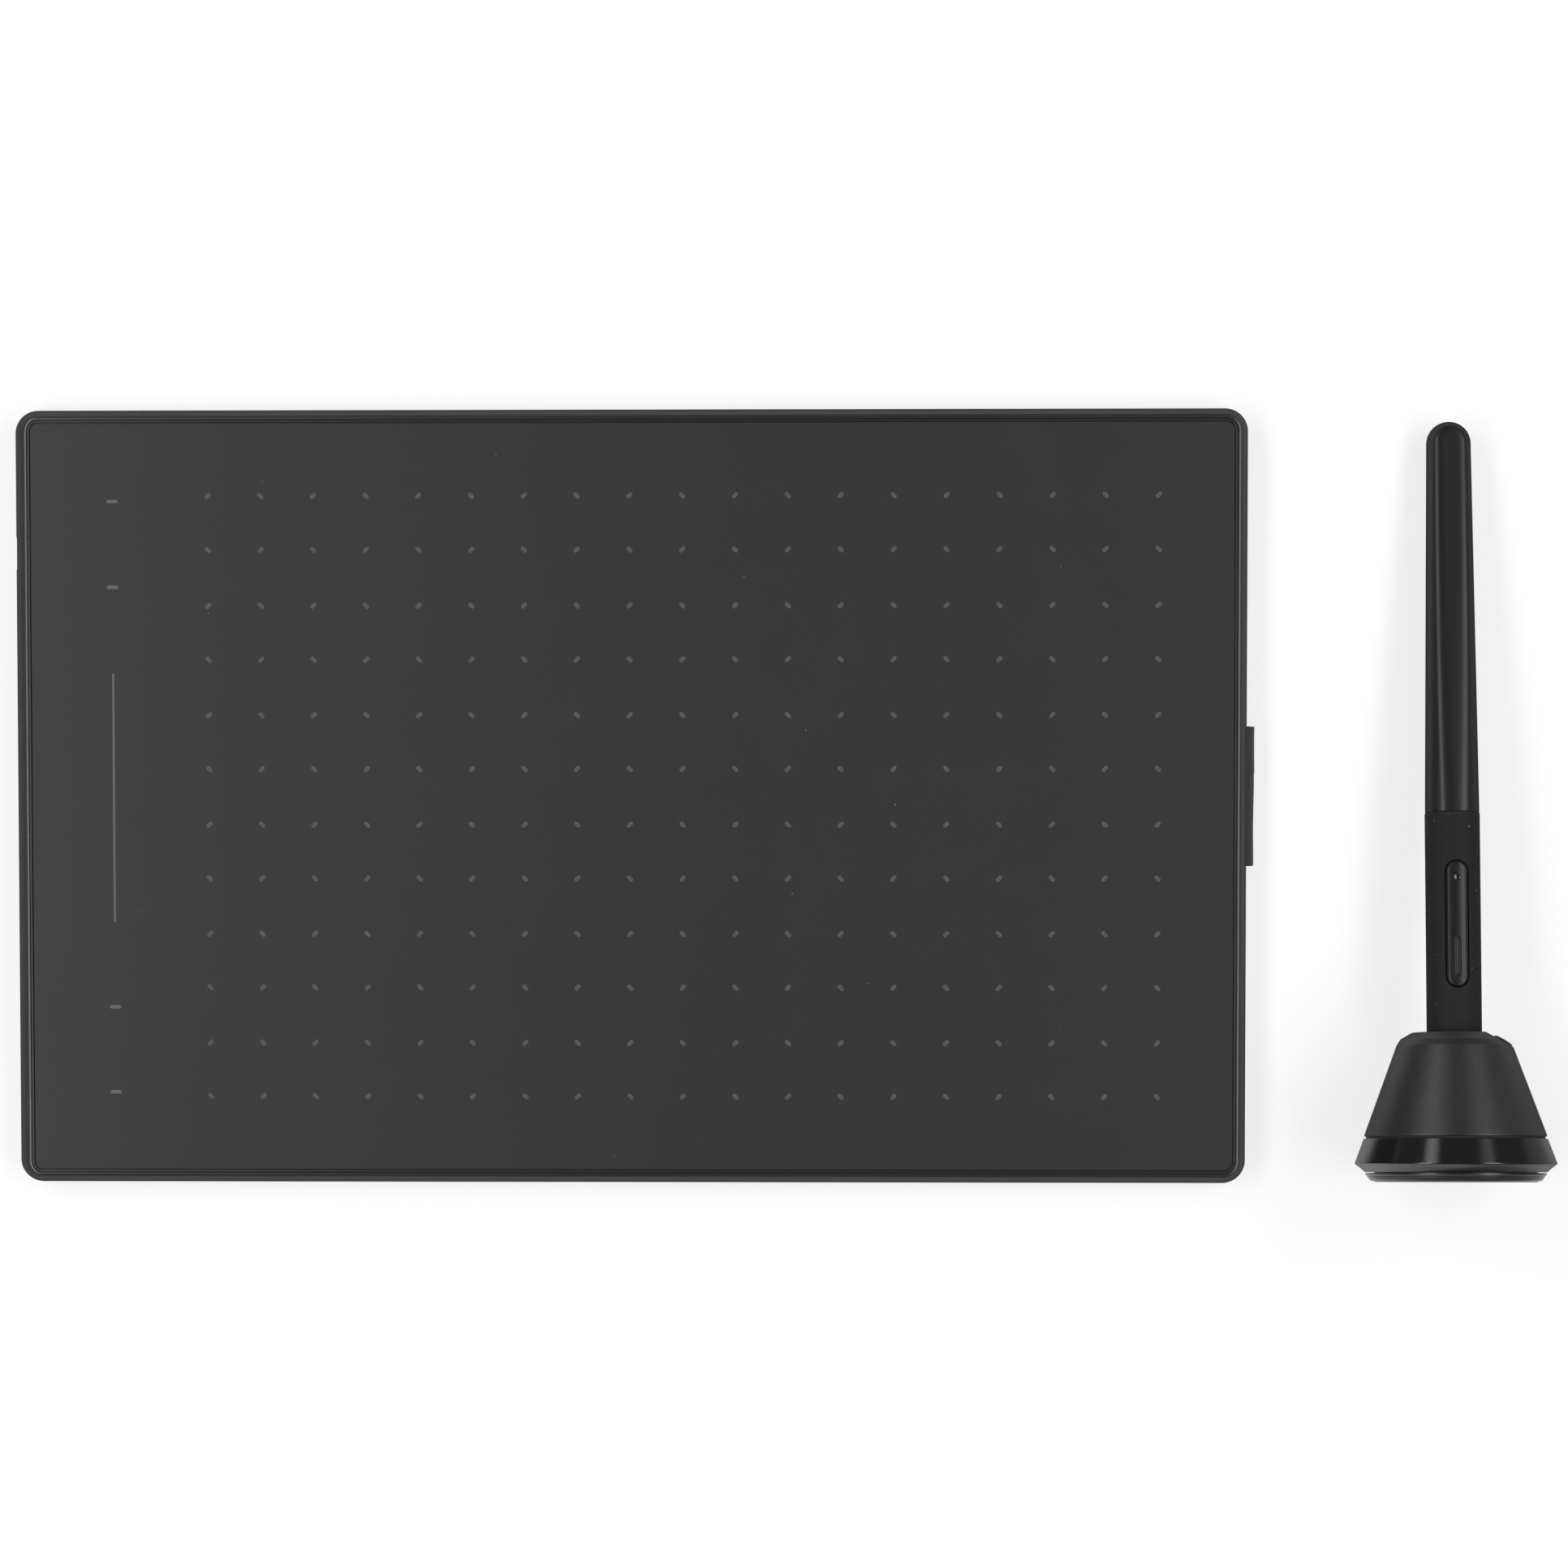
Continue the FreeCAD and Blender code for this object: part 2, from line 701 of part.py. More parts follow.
def top_housing():
    """Rounded rim, inner ledge and the deck that carries the drawing surface."""
    body = new_body("top_housing")
    path = new_sketch(body, "rim_path", "XY_Plane")
    outline = rounded("0", "0", "tablet_length", "tablet_width", "corner_radius")
    draw(path, outline)
    profile = new_sketch(body, "rim_profile", "XZ_Plane")
    draw(profile, [("edge_x - rim_inset", "base_level", "side_radius"),
                   ("edge_x - rim_inset", "top_level"),
                   ("edge_x - rim_inset - crest_width", "top_level"),
                   ("edge_x - rim_inset - crest_width", "ledge_level"),
                   ("edge_x - rim_width", "ledge_level"),
                   ("edge_x - rim_width", "base_level")])
    rim = body.newObject("PartDesign::AdditivePipe", "rim")
    rim.Profile = profile
    rim.Spine = (path, ["Edge%d" % (index + 1) for index in range(len(outline))])
    deck = rounded("0", "0", "tablet_length - 2*(rim_width - deck_bite)",
                   "tablet_width - 2*(rim_width - deck_bite)",
                   "corner_radius - rim_width + deck_bite")
    pad(body, "deck", "XY_Plane", "deck_level", deck, "deck_thickness")
    for index, (x, y) in enumerate(boss_places()):
        feature(body, "AdditiveCylinder", "boss_%d" % index, (x, y, "seat_level"),
                Radius="boss_radius", Height="deck_level - seat_level")
        feature(body, "SubtractiveCylinder", "boss_hole_%d" % index, (x, y, "seat_level"),
                Radius="screw_radius", Height="screw_length - (seat_level - cover_level)")
    for index, (x, y) in enumerate(post_places()):
        feature(body, "AdditiveCylinder", "post_%d" % index, (x, y, "board_top_level"),
                Radius="post_radius", Height="board_drop")
        feature(body, "SubtractiveCylinder", "post_hole_%d" % index, (x, y, "board_top_level"),
                Radius="board_screw_radius", Height="board_screw_length - board_thickness")
    for index, row in enumerate(key_rows()):
        feature(body, "SubtractiveBox", "key_opening_%d" % index,
                ("key_x - key_length/2 - key_slot_gap", "%s - key_width/2 - key_slot_gap" % row,
                 "deck_level"),
                Length="key_length + 2*key_slot_gap", Width="key_width + 2*key_slot_gap",
                Height="deck_thickness")
    half_height = "(socket_height/2 + socket_gap)"
    feature(body, "SubtractiveBox", "socket_slot",
            ("-edge_x", "socket_offset - socket_width/2 + socket_height/2",
             "mid_level - " + half_height),
            Length="rim_width", Width="socket_width - socket_height", Height="2*" + half_height)
    for side, sign in (("low", "-"), ("high", "+")):
        feature(body, "SubtractiveCylinder", "socket_slot_" + side,
                ("-edge_x", "socket_offset %s (socket_width - socket_height)/2" % sign, "mid_level"),
                TO_X, Radius=half_height, Height="rim_width")
    feature(body, "SubtractiveBox", "loop_slot",
            ("edge_x - rim_width", "-loop_width/2 - loop_slot_gap",
             "mid_level - loop_height/2 - loop_slot_gap"),
            Length="rim_width", Width="loop_width + 2*loop_slot_gap",
            Height="loop_height + 2*loop_slot_gap")
    deliver(body, "top_housing", "tablet")


def surface_film():
    """The one-piece drawing surface, bonded to the deck inside the rim."""
    outline = rounded("0", "0", "tablet_length - 2*(rim_width + panel_gap)",
                      "tablet_width - 2*(rim_width + panel_gap)",
                      "corner_radius - rim_width - panel_gap")
    plate("surface_film", outline, "film_level", "film_thickness")


def foot_places():
    for x in ("foot_x", "-foot_x"):
        for y in ("foot_y", "-foot_y"):
            yield x, y


def bottom_cover():
    """The flat cover inside the rim, with ribs, screw seats and foot recesses."""
    body = new_body("bottom_cover")
    outline = rounded("0", "0", "tablet_length - 2*(rim_width + cover_gap)",
                      "tablet_width - 2*(rim_width + cover_gap)",
                      "corner_radius - rim_width - cover_gap")
    pad(body, "cover_plate", "XY_Plane", "base_level", outline, "cover_thickness")
    for sign in (-1, 0, 1):
        feature(body, "AdditiveBox", "long_rib_%d" % (sign + 1),
                ("shield_left + foam_margin",
                 "%d*(sensor_width/2 - foam_margin - cover_rib) - cover_rib/2" % sign,
                 "cover_level"),
                Length="sensor_right - shield_left - 2*foam_margin", Width="cover_rib",
                Height="foam_level - cover_level")
    rib = feature(body, "AdditiveBox", "cross_rib",
                  ("shield_left + foam_margin", "foam_margin + cover_rib - sensor_width/2",
                   "cover_level"),
                  Length="cover_rib", Width="sensor_width - 2*foam_margin - 2*cover_rib",
                  Height="foam_level - cover_level")
    count = int(number("(sensor_right - shield_left - 2*foam_margin)/rib_pitch")) + 1
    row = body.newObject("PartDesign::LinearPattern", "cross_ribs")
    row.Originals = [rib]
    axis = next(item for item in body.Origin.OriginFeatures if item.Role == "X_Axis")
    row.Direction = (axis, [""])
    row.Occurrences = count
    bind(row, Length="%d*rib_pitch" % (count - 1))
    body.Tip = row
    for index, (x, y) in enumerate(boss_places()):
        feature(body, "AdditiveCylinder", "seat_%d" % index, (x, y, "cover_level"),
                Radius="seat_radius", Height="seat_height")
        feature(body, "SubtractiveCylinder", "seat_hole_%d" % index, (x, y, "base_level"),
                Radius="screw_radius", Height="cover_thickness + seat_height")
        feature(body, "SubtractiveCylinder", "seat_sink_%d" % index, (x, y, "base_level"),
                Radius="screw_head_radius", Height="screw_head_height + screw_head_sink")
    for index, (x, y) in enumerate(foot_places()):
        sketch = new_sketch(body, "foot_recess_sketch_%d" % index, "XY_Plane", "base_level")
        draw(sketch, capsule(x, y, "foot_length", "foot_width"))
        recess = body.newObject("PartDesign::Pocket", "foot_recess_%d" % index)
        recess.Profile = sketch
        recess.Reversed = True
        bind(recess, Length="foot_recess")
    deliver(body, "bottom_cover", "tablet")


def rubber_feet():
    for index, (x, y) in enumerate(foot_places(), start=1):
        node = "rubber_foot_%d" % index
        body = new_body(node)
        pad(body, node + "_pad", "XY_Plane", "0", capsule(x, y, "foot_length", "foot_width"),
            "foot_height + foot_recess")
        round_edges(body, node + "_edge", "foot_edge", lambda edge: level_edge(edge, 0))
        deliver(body, node, "tablet")


def housing_screws():
    """Flat-headed screws through the cover into the housing's bosses."""
    screws = []
    for index, (x, y) in enumerate(boss_places()):
        head = rod("housing_head_%d" % index, x, y, "base_level + screw_head_sink",
                   "screw_head_radius", "screw_head_height")
        shank = rod("housing_shank_%d" % index, x, y, "cover_level - screw_head_sink",
                    "screw_radius", "screw_length + screw_head_sink")
        slot = middle_block("housing_slot_%d" % index, x, y, "base_level + screw_head_sink",
                            "screw_slot_length", "screw_slot_width", "screw_slot_depth")
        slot_across = middle_block("housing_cross_%d" % index, x, y, "base_level + screw_head_sink",
                                   "screw_slot_width", "screw_slot_length", "screw_slot_depth")
        body = fuse("housing_screw_body_%d" % index, [head, shank])
        screws.append(cut("housing_screw_%d" % index, body, [slot, slot_across]))
    deliver(group("housing_screws", screws), "housing_screws", "tablet")


# Sensor stack and boards

def sensor_stack():
    """Antenna board, shield plate and foam, bonded under the deck in this order."""
    middle = "(sensor_left + sensor_right)/2"
    plate("sensor_board", rounded(middle, "0", "sensor_right - sensor_left", "sensor_width",
                                  "sheet_corner"),
          "sensor_level", "sensor_thickness")
    middle = "(shield_left + sensor_right)/2"
    plate("shield_plate", rounded(middle, "0", "sensor_right - shield_left", "sensor_width",
                                  "sheet_corner"),
          "shield_level", "shield_thickness")
    plate("support_foam", rounded(middle, "0", "sensor_right - shield_left - 2*foam_margin",
                                  "sensor_width - 2*foam_margin", "sheet_corner"),
          "foam_level", "foam_thickness")


def main_board():
    """The control board under the keys, notched round the socket."""
    body = new_body("main_board")
    pad(body, "board_plate", "XY_Plane", "board_level",
        rounded("board_x", "0", "board_width", "board_length", "sheet_corner"), "board_thickness")
    feature(body, "SubtractiveBox", "socket_notch",
            ("board_left", "socket_offset - socket_width/2", "board_level"),
            Length="socket_mouth + socket_depth - board_left", Width="socket_width",
            Height="board_thickness")
    for index, (x, y) in enumerate(post_places()):
        feature(body, "SubtractiveCylinder", "board_hole_%d" % index, (x, y, "board_level"),
                Radius="board_screw_radius", Height="board_thickness")
    deliver(body, "main_board", "tablet")


def board_screws():
    screws = []
    for index, (x, y) in enumerate(post_places()):
        head = rod("board_head_%d" % index, x, y, "board_level - board_screw_head_height",
                   "board_screw_head", "board_screw_head_height")
        shank = rod("board_shank_%d" % index, x, y, "board_level", "board_screw_radius",
                    "board_screw_length")
        screws.append(fuse("board_screw_%d" % index, [head, shank]))
    deliver(group("board_screws", screws), "board_screws", "tablet")


def board_chips():
    """Chips and small parts under the main board."""
    controller = middle_block("controller", "board_x", "0", "board_level - controller_height",
                              "controller_side", "controller_side", "controller_height")
    deliver(controller, "controller_chip", "tablet")
    drivers = [middle_block("driver_%d" % index, "board_x", "%d*driver_pitch" % place,
                            "board_level - driver_height", "driver_width", "driver_length",
                            "driver_height")
               for index, place in enumerate((-2, -1, 1, 2))]
    deliver(group("drivers", drivers), "driver_chips", "tablet")
    crystal = middle_block("crystal_can", "board_x + controller_side", "controller_side",
                           "board_level - crystal_height", "crystal_width", "crystal_length",
                           "crystal_height")
    deliver(crystal, "timing_crystal", "tablet")
    small = []
    for column in (-1, 1):
        for row in range(-4, 5):
            small.append(middle_block("small_%d_%d" % (column + 1, row + 4),
                                      "board_x + %d*(controller_side + chip_part_pitch)" % column,
                                      "%d*chip_part_pitch - controller_side" % row,
                                      "board_level - chip_part_height", "chip_part_length",
                                      "chip_part_width", "chip_part_height"))
    deliver(group("small_parts", small), "board_passives", "tablet")


def data_socket():
    """The reversible data socket in the left wall, its metal shell and its tongue."""
    body = new_body("socket_shell")
    pad(body, "shell_block", "YZ_Plane", "socket_mouth",
        rounded("socket_offset", "mid_level", "socket_width", "socket_height",
                "socket_corner"),
        "socket_depth")
    sketch = new_sketch(body, "shell_mouth_sketch", "YZ_Plane", "socket_mouth")
    draw(sketch, rounded("socket_offset", "mid_level", "socket_width - 2*socket_wall",
                         "socket_height - 2*socket_wall", "socket_corner - socket_wall"))
    mouth = body.newObject("PartDesign::Pocket", "shell_mouth")
    mouth.Profile = sketch
    mouth.Reversed = True
    bind(mouth, Length="socket_depth - socket_wall")
    deliver(body, "socket_shell", "tablet")
    tongue = block("tongue", "socket_mouth + socket_depth - socket_wall - tongue_length",
                   "socket_offset - tongue_width/2", "mid_level - tongue_height/2",
                   "tongue_length", "tongue_width", "tongue_height")
    deliver(tongue, "socket_tongue", "tablet")


def touch_strip():
    """The capacitive strip under the deck and the block that joins it to the board."""
    strip = middle_block("strip", "key_x", "0", "deck_level - strip_thickness", "strip_width",
                         "strip_length", "strip_thickness")
    deliver(strip, "touch_strip_sensor", "tablet")
    joint = middle_block("strip_joint", "key_x", "0", "board_top_level", "strip_block_width",
                         "strip_block_length", "board_drop - strip_thickness")
    deliver(joint, "strip_connector", "tablet")


def ribbon():
    """The flat cable that joins the antenna board to the main board, in two sockets."""
    low = "ribbon_level - ribbon_thickness/2"
    left = "board_right - ribbon_socket_inset - ribbon_plug_depth"
    right = "sensor_left + ribbon_socket_inset + ribbon_plug_depth"
    flat = block("ribbon_flat", left, "-ribbon_width/2", low, "%s - (%s)" % (right, left),
                 "ribbon_width", "ribbon_thickness")
    slot = block("ribbon_room", left, "-ribbon_width/2", low, "%s - (%s)" % (right, left),
                 "ribbon_width", "ribbon_thickness")
    width = "ribbon_width + 2*ribbon_socket_side"
    board_side = block("board_side", "board_right - ribbon_socket_inset - ribbon_socket_depth",
                       "-(%s)/2" % width, "board_top_level", "ribbon_socket_depth", width,
                       "ribbon_level + ribbon_socket_jaw - board_top_level")
    sensor_side = block("sensor_side", "sensor_left + ribbon_socket_inset", "-(%s)/2" % width,
                        "ribbon_level - ribbon_socket_jaw", "ribbon_socket_depth", width,
                        "sensor_level - ribbon_level + ribbon_socket_jaw")
    deliver(flat, "sensor_ribbon", "tablet")
    deliver(cut("ribbon_pair", group("ribbon_blocks", [board_side, sensor_side]), [slot]),
            "ribbon_sockets", "tablet")


# Press keys

def press_keys():
    """Four plungers that hang in the deck under the film, each over its snap dome."""
    for index, row in enumerate(key_rows(), start=1):
        node = "key_plunger_%d" % index
        body = new_body(node)
        pad(body, node + "_flange", "XY_Plane", "flange_level",
            rounded("key_x", row, "key_length + 2*key_flange", "key_width + 2*key_flange",
                    "key_corner"), "key_flange_thickness")
        pad(body, node + "_head", "XY_Plane", "flange_top_level",
            rounded("key_x", row, "key_length", "key_width", "key_corner"),
            "key_top_level - flange_top_level")
        feature(body, "AdditiveCylinder", node + "_stem", ("key_x", row, "stem_level"),
                Radius="key_stem_radius", Height="flange_level - stem_level")
        deliver(body, node, "tablet")
        dome = doc.addObject("Part::Cone", "dome_%d" % index)
        bind(dome, Radius1="dome_radius", Radius2="dome_top_radius", Height="dome_height")
        put(dome, "key_x", row, "board_top_level")
        hollow = doc.addObject("Part::Cone", "dome_hollow_%d" % index)
        bind(hollow, Radius1="dome_radius - 2*dome_sheet", Radius2="dome_top_radius - dome_sheet",
             Height="dome_height - dome_sheet")
        put(hollow, "key_x", row, "board_top_level")
        deliver(cut("snap_dome_%d" % index, dome, [hollow]), "key_dome_%d" % index, "tablet")


# Pen loop

def pen_loop():
    """The folded fabric loop in the right wall and the bar that clamps its tails."""
    body = new_body("pen_loop")
    bend = "loop_height/2"
    low, high = "mid_level - " + bend, "mid_level + " + bend
    fold = "loop_tip - %s" % bend
    pad(body, "loop_fold", "XZ_Plane", "0",
        [("loop_end", low), (fold, low, bend), ("loop_tip", "mid_level", bend), (fold, high),
         ("loop_end", high), ("loop_end", "mid_level + loop_fold_gap/2"),
         (fold, "mid_level + loop_fold_gap/2"), (fold, "mid_level - loop_fold_gap/2"),
         ("loop_end", "mid_level - loop_fold_gap/2")],
        "loop_width", midplane=True)
    deliver(body, "pen_loop", "tablet")
    bar = middle_block("anchor_bar", "anchor_right - anchor_depth/2", "0",
                       "mid_level - loop_height/2 - anchor_jaw", "anchor_depth",
                       "loop_width + 2*anchor_margin",
                       "deck_level - mid_level + loop_height/2 + anchor_jaw")
    room = block("anchor_room", "loop_end", "-loop_width/2", low,
                 "anchor_right - (loop_end)", "loop_width", "loop_height")
    deliver(cut("loop_clamp", bar, [room]), "loop_anchor", "tablet")


# Pen shells

def pen_barrel():
    """Tapered rear shell with a round tail and a flat that widens towards it."""
    body = new_body("pen_barrel")
    revolve(body, "barrel_shell",
            [("tube_radius", "seam_at"), ("barrel_radius", "seam_at"),
             ("tail_radius", "tail_centre_at", "tail_radius"), ("0", "pen_end"),
             ("0", "cavity_end"), ("cavity_end_radius", "cavity_end"),
             ("cavity_radius", "tube_end"), ("tube_radius", "tube_end")])
    depth = "barrel_radius"
    tilt = FreeCAD.Rotation(Vector(-1, 0, 0), number("flat_angle"))
    feature(body, "SubtractiveBox", "barrel_flat",
            ("-barrel_radius", "-barrel_radius - %s*cos(flat_angle)" % depth,
             "flat_start + %s*sin(flat_angle)" % depth), tilt,
            Length="2*barrel_radius", Width=depth, Height="2*(pen_end - flat_start)")
    deliver(body, "pen_barrel", "pen")


def pen_front():
    """Front tube, its nose and the soft grip round it."""
    tube = new_body("pen_front_tube")
    revolve(tube, "front_tube", [("tube_bore", "grip_start"), ("tube_radius", "grip_start"),
                                 ("tube_radius", "tube_end"), ("tube_bore", "tube_end")])
    window(tube, "tube_window", "window_length", "window_width")
    feature(tube, "SubtractiveCylinder", "pivot_hole",
            ("-pivot_length/2", "-pivot_depth", "rocker_centre"), TO_X,
            Radius="pivot_radius", Height="pivot_length")
    deliver(tube, "pen_front_tube", "pen")
    grip = new_body("pen_grip")
    revolve(grip, "grip_sleeve",
            [("tube_radius", "grip_start"), ("nose_radius", "grip_start"),
             ("grip_radius", "grip_full_at"), ("grip_radius", "seam_at - grip_edge", "grip_edge"),
             ("grip_radius - grip_edge", "seam_at"), ("tube_radius", "seam_at")])
    window(grip, "grip_window", "window_length", "window_width")
    deliver(grip, "pen_grip", "pen")
    nose = new_body("pen_nose")
    revolve(nose, "nose_cone",
            [("nib_radius + nib_gap", "nose_at"), ("nose_tip_radius", "nose_at"),
             ("nose_radius", "grip_start"), ("tube_bore", "grip_start"),
             ("tube_bore", "grip_start + spigot_length"),
             ("nose_cavity_radius", "grip_start + spigot_length"),
             ("nose_cavity_radius", "nose_cavity_start"),
             ("ferrite_radius + ferrite_fit", "nose_cavity_start"),
             ("ferrite_radius + ferrite_fit", "ferrite_start"),
             ("nib_radius + nib_gap", "ferrite_start")])
    deliver(nose, "pen_nose", "pen")


def pen_sensor():
    """Ferrite, winding, pressure module and the nib with its holder."""
    deliver(pipe("ferrite", "ferrite_start", "ferrite_radius", "nib_radius + nib_gap",
                 "ferrite_length"), "ferrite_core", "pen")
    deliver(pipe("coil", "coil_start", "coil_radius", "ferrite_radius", "coil_length"),
            "coil_winding", "pen")
    module = rod("module", "0", "0", "module_start", "tube_bore - module_fit", "module_length")
    deliver(module, "pressure_module", "pen")
    nib = new_body("pen_nib")
    revolve(nib, "nib_rod", [("0", "nib_tip_at"), ("nib_tip_radius", "nib_tip_at", "nib_radius"),
                             ("nib_radius", "nib_tip_at + nib_radius"),
                             ("nib_radius", "nib_end"), ("0", "nib_end")])
    deliver(nib, "pen_nib", "pen")
    holder = rod("holder", "0", "0", "holder_start", "holder_radius", "holder_length")
    seat = rod("holder_seat", "0", "0", "holder_start", "nib_radius", "holder_grip")
    deliver(cut("collet", holder, [seat]), "nib_holder", "pen")


def pen_board():
    """The pen's board, its two switches and the rocker's pivot pin."""
    board = block("pen_circuit", "-pen_board_width/2", "-pen_board_face", "module_end",
                  "pen_board_width", "pen_board_thickness", "pen_board_length")
    deliver(board, "pen_board", "pen")
    switches = [block("switch_%d" % index, "-switch_side/2", "-switch_face",
                      "rocker_centre %s rocker_reach - switch_side/2" % sign, "switch_side",
                      "switch_height", "switch_side")
                for index, sign in enumerate(("-", "+"))]
    deliver(group("switch_pair", switches), "side_switches", "pen")
    pin = rod("pin", "-pivot_length/2", "-pivot_depth", "rocker_centre", "pivot_radius",
              "pivot_length", TO_X)
    deliver(pin, "rocker_pin", "pen")


def rocker_button():
    """The side button, a capsule that rocks on its pin and presses two switches."""
    straight = "rocker_length - rocker_width"
    depth = "rocker_top - rocker_floor"
    key = [block("rocker_middle", "-rocker_width/2", "-rocker_top",
                 "rocker_centre - (%s)/2" % straight, "rocker_width", depth, straight)]
    for index, sign in enumerate(("-", "+")):
        key.append(rod("rocker_end_%d" % index, "0", "-rocker_floor",
                       "rocker_centre %s (%s)/2" % (sign, straight), "rocker_width/2", depth,
                       TO_FRONT))
    crown = rod("rocker_crown", "0", "0", "rocker_centre - rocker_length/2", "rocker_top",
                "rocker_length")
    face = common("rocker_face", [fuse("rocker_capsule", key), crown])
    hub = rod("rocker_hub", "-hub_length/2", "-pivot_depth", "rocker_centre", "hub_radius",
              "hub_length", TO_X)
    web = middle_block("rocker_web", "0", "-(rocker_floor + pivot_depth)/2",
                       "rocker_centre - hub_radius", "hub_length",
                       "rocker_floor - pivot_depth + rocker_root", "2*hub_radius")
    nubs = [rod("rocker_nub_%d" % index, "0", "-switch_face - switch_gap",
                "rocker_centre %s rocker_reach" % sign, "rocker_nub_radius",
                "rocker_floor + rocker_root - switch_face - switch_gap",
                TO_FRONT)
            for index, sign in enumerate(("-", "+"))]
    whole = fuse("rocker_whole", [face, hub, web] + nubs)
    bore = rod("rocker_bore", "-hub_length/2", "-pivot_depth", "rocker_centre",
               "pivot_radius + pivot_fit", "hub_length", TO_X)
    dimple = doc.addObject("Part::Sphere", "rocker_dimple")
    bind(dimple, Radius="dimple_radius")
    put(dimple, "0", "dimple_depth - rocker_top - dimple_radius", "dimple_at")
    groove = block("rocker_groove", "-mark_groove_width/2", "-rocker_top", "mark_groove_at",
                   "mark_groove_width", "mark_groove_depth", "mark_groove_length")
    deliver(cut("rocker", whole, [bore, dimple, groove]), "rocker_button", "pen")


# Stand

def stand_base():
    """Gloss ring, ribbed floor, rubber pad and steel weight."""
    ring = new_body("stand_ring")
    revolve(ring, "ring_wall",
            [("ring_bore", "ring_bottom_at"),
             ("ring_bottom_radius", "ring_bottom_at", "-ring_hollow"),
             ("rim_radius", "rim_at"), ("ring_top_radius", "ring_top_at"),
             ("ring_bore", "ring_top_at")])
    deliver(ring, "stand_ring", "pen")
    floor = new_body("stand_floor")
    revolve(floor, "floor_disc",
            [("0", "pad_top_at"), ("pad_radius", "pad_top_at"), ("pad_radius", "pad_proud"),
             ("floor_bottom_radius", "pad_proud"),
             ("floor_radius - floor_groove", "pad_proud + floor_chamfer"),
             ("floor_radius", "pad_proud + floor_chamfer"), ("floor_radius", "floor_top_at"),
             ("ring_bore", "floor_top_at"), ("ring_bore", "spigot_top_at"),
             ("0", "spigot_top_at")])
    deliver(floor, "stand_floor", "pen")
    foot = rod("foot_disc", "0", "0", "0", "pad_radius", "pad_top_at")
    deliver(foot, "stand_foot_pad", "pen")
    deliver(pipe("weight", "spigot_top_at", "weight_radius", "weight_bore", "weight_height"),
            "stand_weight", "pen")


def nib_tray():
    """The tray that holds the spare nibs upright in a circle."""
    body = new_body("nib_tray")
    revolve(body, "tray_disc",
            [("0", "tray_at"), ("tray_radius", "tray_at"), ("tray_radius", "tray_top_at"),
             ("tray_well_radius", "tray_top_at"),
             ("tray_well_radius", "tray_top_at - tray_well_depth"),
             ("0", "tray_top_at - tray_well_depth")])
    hole = feature(body, "SubtractiveCylinder", "spare_hole", ("spare_circle", "0", "spare_at"),
                   Radius="nib_radius + spare_fit", Height="spare_sink")
    ring = body.newObject("PartDesign::PolarPattern", "spare_holes")
    ring.Originals = [hole]
    axis = next(item for item in body.Origin.OriginFeatures if item.Role == "Z_Axis")
    ring.Axis = (axis, [""])
    ring.Angle = 360
    bind(ring, Occurrences="spare_count")
    body.Tip = ring
    deliver(body, "nib_tray", "pen")
    count = int(number("spare_count"))
    spares = [rod("spare_%d" % index, "spare_circle*cos(%d*360/spare_count)" % index,
                  "spare_circle*sin(%d*360/spare_count)" % index, "spare_at", "nib_radius",
                  "spare_length")
              for index in range(count)]
    deliver(group("spares", spares), "spare_nibs", "pen")


def on_facet(along, across):
    """Place in plan of a point that far out from the axis and to the side, on the turned facet."""
    return ("%s*cos(facet_turn) + (%s)*sin(facet_turn)" % (along, across),
            "-%s*sin(facet_turn) + (%s)*cos(facet_turn)" % (along, across))


